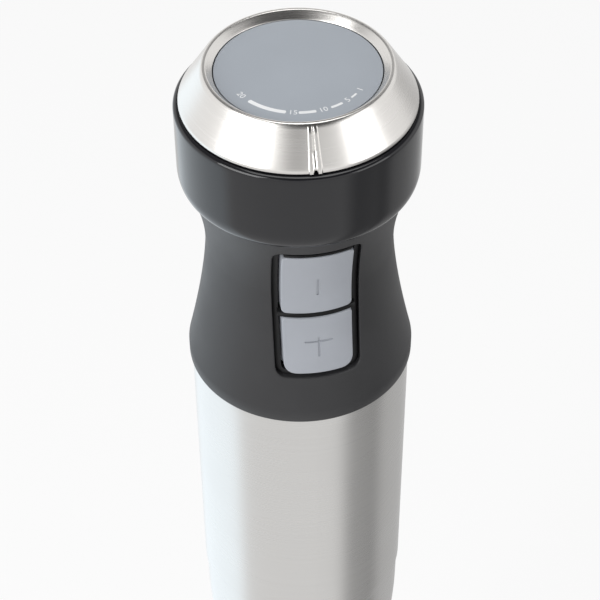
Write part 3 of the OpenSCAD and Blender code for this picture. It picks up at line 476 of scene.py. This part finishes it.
def dial_ring():
    """Pressed steel ring: its outline is turned round Z, and near the front two ridges stand out
    by a raised cosine of the distance round the cone, with a small arch at their foot."""
    wall = 0.77 * MM
    outline = softened([
        (disc_r + 0.25 * MM, z_rim - 1.8 * MM), (rim_r - 0.7 * MM, z_rim), (rim_r + 0.1 * MM, z_rim),
        (rim_r + 0.75 * MM, z_rim - 0.75 * MM), (dial_r, z_rim - CONE_DROP), (dial_r, z_dial),
        (dial_r - 0.9 * MM, z_dial), (dial_r - 0.9 * MM, z_rim - 9.8 * MM),
        (rim_r + 0.1 * MM, z_rim - 1.2 * MM), (rim_r - 0.6 * MM, z_rim - wall),
        (disc_r + 0.25 * MM, z_rim - 2.6 * MM)],
        np.array([0.12, 0.18, 0.3, 0.35, 0.5, 0.15, 0.15, 0.3, 0.3, 0.2, 0.12]) * MM)
    outline = subdivided(outline, 0.6 * MM)
    front = RIB_BEARING - TURN / 4
    near = np.linspace(-5, 5, 201)
    far = np.linspace(5, 355, 232)[1:-1]
    offset = np.radians(np.concatenate([near, far]))
    r, z = outline[:, 0][None, :], outline[:, 1][None, :]
    signed = (offset[:, None] + TURN / 2) % TURN - TURN / 2
    taper = 1.22 - 0.22 * np.clip((z_rim - z) / (9 * MM), 0, 1)
    across = np.abs(dial_r * signed) * taper
    ridge = np.clip((RIDGE_W / 2 - np.abs(across - (RIB_W - RIDGE_W) / 2)) / (RIDGE_W / 2), 0, 1)
    ridge = np.sin(np.clip(2.2 * ridge, 0, 1) * TURN / 4) ** 2
    drop = z_rim - z
    outside = r > dial_r - 0.75 * MM - (z - z_rim + CONE_DROP) * 0.65
    length_share = np.clip((drop - 0.3 * MM) / (1.2 * MM), 0, 1) * outside
    proud = RIB_PROUD * ridge * length_share
    arch = ARCH_H * np.sqrt(np.clip(1 - (across / ARCH_HALF) ** 2, 0, 1))
    lift = arch * np.clip(1 - (z - z_dial) / ARCH_REACH, 0, 1)
    radius = r + proud
    points = np.stack([radius * np.cos(front + signed), radius * np.sin(front + signed),
                       z + lift + 0 * radius], axis=-1)
    piece("dial_ring_turned", [grid(points)], RING_STEEL, "dial", ["dial_ring"], sharp=28)


SCALE_R = 17.0 * MM
PRINT_T = 0.03 * MM
NUMBER_H = 2.3 * MM


def printed_arc(start, end, width):
    """Closed slab on the disc between two angles from the front, in degrees, round at its ends:
    its half width falls to nothing as a half circle at both ends."""
    reach = np.radians(end - start) * SCALE_R
    share = np.linspace(0, 1, 64)
    from_end = np.minimum(share, 1 - share) * reach
    soft = 0.3 * width
    half = width / 2 * np.sqrt(np.clip(1 - np.clip(1 - from_end / soft, 0, 1) ** 2, 0.02, 1))
    angle = np.radians(start + (end - start) * share)[:, None]
    side = np.array([-1, 1, 1, -1])[None, :]
    z = np.array([0, 0, 1, 1])[None, :] * 2 * PRINT_T + z_disc - PRINT_T
    radius = SCALE_R + side * half[:, None]
    points = np.stack([radius * np.sin(angle), -radius * np.cos(angle), z + 0 * radius], axis=-1)
    return grid(points, wrap_rows=False)


def printed_number(text, angle):
    """Thin mesh of a number on the disc, whose top points to the centre."""
    curve = bpy.data.curves.new("number", "FONT")
    curve.body = text
    curve.size = NUMBER_H
    curve.align_x = "CENTER"
    curve.align_y = "CENTER"
    curve.extrude = PRINT_T
    curve.resolution_u = 4
    writer = bpy.data.objects.new("number", curve)
    bpy.context.scene.collection.objects.link(writer)
    view = bpy.context.evaluated_depsgraph_get()
    mesh = bpy.data.meshes.new_from_object(writer.evaluated_get(view))
    bpy.data.objects.remove(writer)
    turn = math.radians(angle)
    centre = Vector((SCALE_R * math.sin(turn), -SCALE_R * math.cos(turn), z_disc))
    mesh.transform(Matrix.Translation(centre) @ Matrix.Rotation(turn, 4, "Z"))
    return mesh


def scale_disc():
    """Disc in the dial, with the scale printed on it as thin raised ink."""
    thick = 1.6 * MM
    outline = softened([(0, z_disc), (disc_r, z_disc), (disc_r, z_disc - thick), (0, z_disc - thick)],
                       np.array([0, 0.15, 0.1, 0]) * MM + 1e-9)
    stem_out = 8.9 * MM
    stem = softened([(stem_out, z_disc - thick + SLIP), (stem_out, z_rim - 9 * MM),
                     (stem_out - 1.6 * MM, z_rim - 9 * MM), (stem_out - 1.6 * MM, z_disc - thick + SLIP)],
                    0.2 * MM)
    piece("scale_disc_face", [turned(outline), turned(stem)], DISC_GREY, "motor_unit",
          ["scale_disc"])
    arcs = [(-54.4, -20.2, 1.15), (-10.2, 4.2, 0.95), (16.9, 27.9, 0.75), (37.9, 44.7, 0.55)]
    piece("scale_arcs", [printed_arc(a, b, w * MM) for a, b, w in arcs], PRINT_WHITE, "motor_unit")
    for text, angle in (("20", -64), ("15", -14.6), ("10", 10.2), ("5", 33.6), ("1", 51)):
        mesh = printed_number(text, angle)
        made = bpy.data.objects.new(f"scale_number_{text}", mesh)
        bpy.context.scene.collection.objects.link(made)
        mesh.materials.clear()
        mesh.materials.append(PRINT_WHITE)
        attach(made, "motor_unit")


# ---- Head ----------------------------------------------------------------------------------


def rod(radius, start, end, sides=48):
    """Closed round bar between two points on a line along Y or Z."""
    start, end = np.array(start, float), np.array(end, float)
    axis = (end - start) / np.linalg.norm(end - start)
    u = np.cross(axis, [1.0, 0, 0])
    v = np.cross(axis, u)
    a = np.linspace(0, TURN, sides, endpoint=False)[None, :, None]
    ends = np.stack([start, end])[:, None, :]
    points = ends + radius * (np.cos(a) * u[None, None] + np.sin(a) * v[None, None])
    return grid(points, wrap_rows=False)


def head_collar():
    """Gloss collar, the deck inside it and the dial's post, turned as one."""
    inner = collar_r - COLLAR_WALL
    post_r = 12 * MM
    rise = np.linspace(0, TURN / 4, 14)
    foot = np.stack([collar_r - 1.6 * MM * (1 - np.sin(rise)), z_collar + 4.3 * MM * (1 - np.cos(rise))], 1)
    lip = np.stack([collar_r - 1.1 * MM * (1 - np.cos(rise)), z_lip - 1.1 * MM * (1 - np.sin(rise))], 1)
    inside = [
        (inner - 0.4 * MM, z_lip), (inner - 0.4 * MM, z_deck), (post_r, z_deck), (post_r, z_rim - 3.4 * MM),
        (post_r - 3 * MM, z_rim - 3.4 * MM), (post_r - 3 * MM, z_deck - 2.2 * MM),
        (inner, z_deck - 2.2 * MM), (inner, z_collar)]
    outline = subdivided(np.concatenate([foot, lip, np.array(inside)]), 1.5 * MM)
    gland_z = (gland_low.z + gland_high.z) / 2
    holes = [rod(6.1 * MM, (0, inner - 4 * MM, gland_z), (0, inner + 6 * MM, gland_z))]
    for side in (-1, 1):
        x = side * 18.5 * MM
        holes.append(rod(1.6 * MM, (x, 0, z_deck - 4 * MM), (x, 0, z_deck + 1 * MM), 24))
        holes.append(rod(3 * MM, (x, 0, z_deck - 1.7 * MM), (x, 0, z_deck + 2 * MM), 32))
    piece("head_collar_gloss", [turned(outline)], GLOSS_BLACK, "motor_unit",
          ["head_collar"], holes)


def cord_gland():
    """Rubber bush turned about the Y axis: flange inside, waist in the collar's wall, and a plain
    outside end with its bore open."""
    y_in, y_out = gland_low.y, gland_high.y
    z0 = (gland_low.z + gland_high.z) / 2
    wall_in, wall_out = collar_r - COLLAR_WALL, collar_r
    outer, bore = 6 * MM, 3.6 * MM
    outline = softened([
        (bore, y_in), (6.9 * MM, y_in), (6.9 * MM, wall_in - 1.1 * MM), (outer, wall_in - 1.1 * MM),
        (outer, wall_out + 0.1 * MM), (outer, y_out), (outer - 1.2 * MM, y_out),
        (outer - 1.5 * MM, y_out - 0.5 * MM), (bore + 0.5 * MM, y_out - 0.1 * MM),
        (bore, y_out - 0.5 * MM)], 0.25 * MM)
    points, faces = turned(outline)
    swapped = np.stack([points[:, 0], points[:, 2], points[:, 1] + z0], axis=1)
    piece("cord_gland_bush", [(swapped, faces)], RUBBER, "motor_unit", ["cord_gland"])


# ---- Grip and buttons ----------------------------------------------------------------------

RECESS_CORNER = 3 * MM
BELOW_RECESS = -6 * MM
CLEAR_OF_GRIP = 8 * MM
DRAWN_IN = 0.45 * MM
CAP_EDGE = 0.35 * MM
CROWN = 0.12 * MM
MARK_W = 0.6 * MM
MARK_DEPTH = 0.12 * MM
FLANGE_BACK = -4.7 * MM
FLANGE_FRONT = -3.7 * MM


def rounded_box(width, low, high, corner, steps=10, between=24):
    """Closed (x, z) outline of a rectangle centred on x = 0, with rounded corners. Each corner has as
    many points as any other, and so has each side, so that outlines of any size join up."""
    box = [(width / 2, low), (width / 2, high), (-width / 2, high), (-width / 2, low)]
    bends = softened(box, corner, steps).reshape(4, steps, 2)
    t = np.linspace(0, 1, between + 2)[1:-1][None, :, None]
    sides = bends[:, -1:] * (1 - t) + np.roll(bends[:, :1], -1, axis=0) * t
    return np.concatenate([bends, sides], axis=1).reshape(-1, 2)


def on_grip(outline, lift, side=-1):
    """Points of an (x, z) outline on the grip's front (side -1) or rear (side 1), lifted off it."""
    x, z = outline[..., 0], outline[..., 1]
    y = side * (np.sqrt(grip_radius(z) ** 2 - x ** 2) + lift)
    return np.stack([x, y, z], axis=-1)


def loft(levels, side=-1, wrap_rows=False):
    """Shape through (outline, lift) levels, each an (x, z) outline at a height over the grip."""
    rows = [on_grip(outline, lift, side) for outline, lift in levels]
    return grid(np.stack(rows), wrap_rows=wrap_rows)


def half_turn(outline, start):
    """Half of a turned shape that starts at an angle, with flat closed ends."""
    return turned(outline, start + np.linspace(0, TURN / 2, 150))


def grip_outline():
    """Closed (radius, z) outline of the grip's wall, and the outlines of its two spigots."""
    heights = np.linspace(z_foot, z_collar, 90)
    outside = np.stack([grip_radius(heights), heights], 1)
    inside = np.stack([grip_radius(heights[::-4]) - GRIP_WALL, heights[::-4]], 1)
    foot = np.array([(foot_r - GRIP_WALL - 1 * MM, z_grip), (foot_r - 0.5 * MM, z_grip),
                     (foot_r - 0.15 * MM, z_grip + 0.12 * MM), (foot_r, z_grip + 0.5 * MM)])
    wall = np.concatenate([foot, outside, inside])
    inner = collar_r - COLLAR_WALL - SLIP
    top = softened([(inner, z_collar - 0.4 * MM), (inner, z_collar + 3.5 * MM),
                    (grip_top_r - GRIP_WALL - 0.4 * MM, z_collar + 3.5 * MM),
                    (grip_top_r - GRIP_WALL - 0.4 * MM, z_collar - 0.4 * MM)], 0.15 * MM)
    low = body_r - SHEET - SLIP
    spigot = softened([(low, grip_low.z), (low, z_grip + 0.6 * MM), (low - 2.2 * MM, z_grip + 0.6 * MM),
                       (low - 2.2 * MM, grip_low.z)], 0.15 * MM)
    return wall, top, spigot


def grip_shells():
    """Front shell with its rounded recess for the buttons, and rear shell with five air slots."""
    outlines = grip_outline()
    front = [half_turn(outline, -TURN / 2) for outline in outlines]
    rear = [half_turn(outline, 0) for outline in outlines]
    edge = 0.5 * MM
    bend = np.linspace(0, TURN / 4, 6)
    levels = [(rounded_box(recess_w, recess_bottom, recess_top, RECESS_CORNER), BELOW_RECESS)]
    for a in bend:
        grow = edge * (1 - math.cos(a))
        box = rounded_box(recess_w + 2 * grow, recess_bottom - grow, recess_top + grow,
                          RECESS_CORNER + grow)
        levels.append((box, -edge + edge * math.sin(a)))
    wide = edge + 1 * MM
    mouth = rounded_box(recess_w + 2 * wide, recess_bottom - wide, recess_top + wide, RECESS_CORNER + wide)
    levels.append((mouth, CLEAR_OF_GRIP))
    piece("grip_front_cover", front, SOFT_BLACK, "motor_unit", ["grip_front_shell"],
          [loft(levels)], sharp=30)
    slots, pitch, slot_h = 5, 4 * MM, 1.8 * MM
    cutters = []
    for i in range(slots):
        z = z_foot + 10 * MM + i * pitch
        stack = [(rounded_box(16 * MM + g, z - slot_h / 2 - g / 2, z + slot_h / 2 + g / 2,
                              slot_h / 2 - 0.01 * MM + g / 2), lift)
                 for g, lift in ((0, BELOW_RECESS), (0, -0.35 * MM), (0.3 * MM, -0.08 * MM),
                                 (0.9 * MM, 0.2 * MM), (0.9 * MM, 2 * MM))]
        cutters.append(loft(stack, side=1))
    piece("grip_rear_cover", rear, SOFT_BLACK, "motor_unit", ["grip_rear_shell"],
          cutters, sharp=30)


def bezel():
    """Dark frame round the buttons, sunk 1.5 mm under the grip's surface, with one bar above them and one
    bar that fills the space between them up to just over the grip's surface: near-black painted shade where
    that gap would be dark."""
    w = recess_w - 2 * SLIP
    low, high = recess_bottom + SLIP, recess_top - SLIP
    hole_w = button_w + 2 * FACE_GAP
    hole_low, hole_high = turbo_low.z - FACE_GAP, speed_high.z + FACE_GAP
    sunk, back = -1.5 * MM, -3.2 * MM
    soft = 0.3 * MM
    levels = [
        (rounded_box(w, low, high, RECESS_CORNER), back),
        (rounded_box(w, low, high, RECESS_CORNER), sunk - soft),
        (rounded_box(w - soft, low + soft / 2, high - soft / 2, 2.9 * MM), sunk - soft / 4),
        (rounded_box(w - 2 * soft, low + soft, high - soft, 2.7 * MM), sunk),
        (rounded_box(hole_w + 2 * soft, hole_low - soft, hole_high + soft, 1.9 * MM), sunk),
        (rounded_box(hole_w + soft / 2, hole_low - soft / 4, hole_high + soft / 4, 1.7 * MM),
         sunk - soft / 4),
        (rounded_box(hole_w, hole_low, hole_high, 1.6 * MM), sunk - soft),
        (rounded_box(hole_w, hole_low, hole_high, 1.6 * MM), back)]
    gap_low, gap_high = turbo_high.z - DRAWN_IN + SLIP, speed_low.z - SLIP
    between = rounded_box(hole_w + 1 * MM, gap_low, gap_high, 0.1 * MM)
    # Painted shade: a near-black bar that fills the gap between the buttons, standing where the gap would
    # be dark.
    gap_painted_shade_bar = loft([(between, back), (between, 0.05 * MM)])
    above = rounded_box(button_w - 1 * MM, speed_high.z + SLIP, high - SLIP, 0.1 * MM)
    lintel = loft([(above, back), (above, -0.1 * MM)])
    piece("button_frame", [loft(levels, wrap_rows=True), gap_painted_shade_bar, lintel], RECESS_BLACK_WITH_PAINTED_SHADE, "motor_unit",
          ["button_bezel"])


def button(name, node, body, low, high, proud, corner, marks):
    """Button cap: outlines stacked up its side, over a rounded edge, and in to its middle, each at
    its own height over the grip. The marks are sunk into its face."""
    flange = rounded_box(button_w + 2.4 * MM, low + SLIP, high - SLIP, corner)
    levels = [(flange, FLANGE_BACK), (flange, FLANGE_FRONT)]
    levels.append((rounded_box(button_w, low, high, corner), FLANGE_FRONT))
    for a in np.linspace(0, TURN / 4, 8):
        cut = CAP_EDGE * (1 - math.cos(a))
        box = rounded_box(button_w - 2 * cut, low + cut, high - cut, corner - cut)
        levels.append((box, proud - CAP_EDGE + CAP_EDGE * math.sin(a)))
    middle = (low + high) / 2
    rim_box = levels[-1][0]
    for share in np.linspace(0, 1, 14)[1:]:
        shrunk = rim_box * (1 - share) + np.array([0, middle]) * share
        levels.append((shrunk, proud + CROWN * share * (2 - share)))
    back = [(flange * (1 - s) + np.array([0, middle]) * s, FLANGE_BACK) for s in (1, 0.5)]
    boss_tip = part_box(node)[1].y
    boss_root = -grip_radius(np.array(middle)) + 4.5 * MM
    boss = rod(2 * MM, (0, boss_root, middle), (0, boss_tip, middle))
    cutters = []
    for x, z0, z1, width in marks:
        outline = rounded_box(width, z0, z1, 0.45 * min(width, z1 - z0)) + np.array([x, 0])
        cutters.append(loft([(outline, proud - MARK_DEPTH), (outline, proud + 2 * MM)]))
    piece(name, [loft(back + levels), boss], BUTTON_GREY, body, [node], cutters, sharp=40)


def buttons():
    """Upper speed button with one bar, and lower turbo button with a cross-shaped mark."""
    corners = np.array([1.4, 1.7, 1.7, 1.4]) * MM
    top = speed_high.z
    upper_bar = (0, top - 14.8 * MM, top - 8.9 * MM, MARK_W)
    button("speed_button_cap", "speed_button", "speed_button", speed_low.z, top, 0.3 * MM, corners,
           [upper_bar])
    low_corners = np.array([3.4, 1.2, 1.2, 3.4]) * MM
    top = turbo_high.z
    upright = (0, top - 12.7 * MM, top - 6.6 * MM, MARK_W)
    crosswise = (0, top - 8.2 * MM, top - 7.6 * MM, 7.4 * MM)
    button("turbo_button_cap", "turbo_button", "turbo_button", turbo_low.z, top - DRAWN_IN, 0.5 * MM,
           low_corners, [upright, crosswise])


# ---- Steel body and blending shaft ---------------------------------------------------------


def sleeve():
    """Steel tube over the motor, its ends turned soft."""
    inner = body_r - SHEET
    outline = softened([(inner, z_seam), (body_r, z_seam), (body_r, z_grip), (inner, z_grip)], 0.25 * MM)
    piece("motor_sleeve", [turned(subdivided(outline, 4 * MM))], STEEL, "motor_unit",
          ["steel_sleeve"])


def shoulder():
    """Steel shoulder: its radius goes from the joint's to the tube's with s^2, where s is the
    smoothstep of the drop, and a short collar ends it."""
    top_z, top_r = shoulder_high.z, shoulder_high.x
    low_r = tube_high.x + SHEET + SLIP / 2
    height = top_z - shoulder_low.z - 5 * MM
    t = np.linspace(0, 1, 120)
    s = t * t * (3 - 2 * t)
    r = top_r + (low_r - top_r) * s * s
    z = top_z - height * t
    end = shoulder_low.z
    outside = np.concatenate([np.stack([r, z], 1), [(low_r, end + 0.2 * MM), (low_r - 0.15 * MM, end)]])
    inside = np.concatenate([[(low_r - SHEET, end)], np.stack([r - SHEET, z], 1)[::-1]])
    piece("shaft_shoulder_steel", [turned(np.concatenate([outside, inside]))], STEEL, "blending_shaft",
          ["shaft_shoulder"])


def tube():
    """Plain steel tube, its ends turned soft."""
    r, low, high = tube_high.x, tube_low.z, tube_high.z
    outline = softened([(r - SHEET, low), (r, low), (r, high), (r - SHEET, high)], 0.2 * MM)
    piece("shaft_tube_steel", [turned(subdivided(outline, 4 * MM))], STEEL, "blending_shaft",
          ["shaft_tube"])


def bell():
    """Bell guard: under its neck the radius is neck + (rim - neck) sin(a)^0.75 and the height is
    top - neck_h - fall (1 - cos a). Over each notch the wall is drawn up to the notch's arch, so its
    edge follows a circle."""
    wall = 1 * MM
    neck = tube_high.x + wall + SLIP / 2
    rim = bell_high.x
    top = bell_high.z
    neck_h = 9 * MM
    fall = top - 22 * MM
    a = np.linspace(0, TURN / 4, 60)
    curve = np.stack([neck + (rim - neck) * np.sin(a) ** 0.75,
                      top - neck_h - fall * (1 - np.cos(a))], 1)
    skirt_z = np.linspace(curve[-1, 1], 1.4 * MM, 14)[1:]
    outside = np.concatenate([[(neck - 0.2 * MM, top), (neck, top - 0.2 * MM)], curve,
                              np.stack([np.full_like(skirt_z, rim), skirt_z], 1),
                              [(rim - 0.2 * MM, 0.4 * MM), (rim - 0.7 * MM, 0)]])
    inside = np.concatenate([[(rim - wall - 1 * MM, 0), (rim - wall - 1 * MM, 1.6 * MM),
                              (rim - wall, 2.6 * MM)],
                             np.stack([np.full_like(skirt_z, rim - wall), skirt_z], 1)[::-1][1:],
                             (curve - np.array([wall, 0]))[::-1], [(neck - wall, top)]])
    outline = np.concatenate([outside, inside])
    notch_r = 9 * MM
    half = math.asin(notch_r / rim)
    arc = half * np.sin(np.linspace(-1, 1, 41) * TURN / 4)
    plain = np.linspace(half, TURN / 4 - half, 30)[1:-1]
    quarter = np.concatenate([arc, plain])
    angle = np.concatenate([quarter + k * TURN / 4 for k in range(4)])
    from_notch = np.concatenate([np.concatenate([arc, np.full_like(plain, half)])] * 4)
    arch = np.sqrt(np.clip(notch_r ** 2 - (rim * np.sin(from_notch)) ** 2, 0, None))[:, None]
    r, z = outline[:, 0][None, :], outline[:, 1][None, :]
    reach = 19 * MM
    raised = np.where(z < reach, arch + z * (reach - arch) / reach, z)
    around = angle[:, None]
    points = np.stack([r * np.cos(around), r * np.sin(around), raised], axis=-1)
    piece("bell_guard_steel", [grid(points)], STEEL, "blending_shaft", ["bell_guard"])


# ---- Carried-over nodes --------------------------------------------------------------------


def finish_nodes():
    """Gives every carried-over node the finish that the record names for it."""
    slots = {part["node"]: part["material_slot"] for part in frame["record"]["subparts"]}
    for name, node in frame["nodes"].items():
        node.data.materials.clear()
        node.data.materials.append(NODE_FINISH[slots[name]])


# ---- Studio --------------------------------------------------------------------------------


def studio_floor():
    """Pale floor. A camera sees it almost white, with the object's shadow on it. A mirror sees a painted
    reflection
    instead: for glossy rays the floor glows, brighter and bluish on the left, dimmer on the right, with a
    dark gap in front."""
    half = 6
    corners = np.array([[-half, -half, 0], [half, -half, 0], [half, half, 0], [-half, half, 0]], float)
    mesh = bpy.data.meshes.new("floor")
    mesh.from_pydata(corners - [0, 0, 0.2 * MM], [], [(0, 1, 2, 3)])
    floor = bpy.data.objects.new("floor", mesh)
    bpy.context.scene.collection.objects.link(floor)
    paint = new_paint("floor")
    _, (x, y, _) = paint.place()
    bearing = x.maths("ARCTAN2", y * -1) * (360 / TURN)
    gap = bearing.band(36, 78, 10)
    right = bearing.step(60, 78) * (1 - bearing.step(120, 170))
    left = bearing.band(-160, -78, 9)
    # Painted reflection: strength of the glow that only glossy rays see on the floor.
    mirror = (1 - gap * 0.55) * (1 - right * 0.36) * (left * 0.5 + 0.88)
    path = [paint.node("ShaderNodeLightPath", output=o) for o in ("Is Camera Ray", "Is Glossy Ray")]
    matt = paint.node("ShaderNodeBsdfDiffuse", inputs={"Color": (0.85, 0.85, 0.85, 1)})
    white = paint.node("ShaderNodeEmission", inputs={"Color": (1, 1, 1, 1), "Strength": 1.0})
    shown = paint.node("ShaderNodeMixShader", inputs={0: 0.8, 1: matt, 2: white})
    tint = paint.blend(left, (1, 1, 1), (0.88, 0.95, 1.0))
    painted_reflection_glow = paint.node("ShaderNodeEmission", inputs={"Color": tint, "Strength": mirror})
    mixed = paint.node("ShaderNodeMixShader", inputs={0: path[0], 1: matt, 2: shown})
    final = paint.node("ShaderNodeMixShader", inputs={0: path[1], 1: mixed, 2: painted_reflection_glow})
    paint.node("ShaderNodeOutputMaterial", inputs={"Surface": final})
    mesh.materials.append(paint.owner)


def studio_world():
    """White surroundings. Lit surfaces get an even pale light, and mirrors see bright walls, a dark
    ceiling, a dark screen high in front and a dimmer patch where the viewer stands."""
    world = bpy.data.worlds.new("studio")
    bpy.context.scene.world = world
    paint = Paint(world)
    where = paint.node("ShaderNodeTexCoord", output="Generated")
    x, y, z = [paint.node("ShaderNodeSeparateXYZ", inputs={0: where}, output=i) for i in range(3)]
    bearing = x.maths("ARCTAN2", y * -1) * (360 / TURN)
    person = bearing.band(-24, -4, 6) * z.band(0.15, 0.8, 0.1)
    screen = bearing.band(-26, 58, 8) * z.band(0.47, 0.9, 0.06)
    ceiling = z.step(0.47, 0.64)
    mirror = (1 - person * 0.35) * (1 - screen * 0.8) * (1 - ceiling * 0.85)
    camera = paint.node("ShaderNodeLightPath", output="Is Camera Ray")
    glossy = paint.node("ShaderNodeLightPath", output="Is Glossy Ray")
    level = glossy * mirror + (1 - glossy) * 0.46
    strength = camera + (1 - camera) * level
    back = paint.node("ShaderNodeBackground", inputs={"Color": (1, 1, 1, 1), "Strength": strength})
    paint.node("ShaderNodeOutputWorld", inputs={"Surface": back})


def lamp(name, place, size, watts, aim=(0, 0, 0.3)):
    """Square soft lamp that faces a point."""
    light = bpy.data.objects.new(name, bpy.data.lights.new(name, "AREA"))
    bpy.context.scene.collection.objects.link(light)
    light.data.size = size
    light.data.energy = watts
    light.location = place
    light.rotation_euler = (Vector(place) - Vector(aim)).to_track_quat("Z", "Y").to_euler()


dial_ring()
scale_disc()
head_collar()
cord_gland()
grip_shells()
bezel()
buttons()
sleeve()
shoulder()
tube()
bell()
finish_nodes()
studio_floor()
studio_world()
lamp("key_left", (-1.3, -0.7, 1.1), 1.1, 16)
lamp("fill_right", (1.2, -0.9, 0.9), 0.9, 4)
lamp("top", (0.1, 0.2, 1.8), 1.0, 8)
bpy.context.scene.view_settings.view_transform = "Standard"
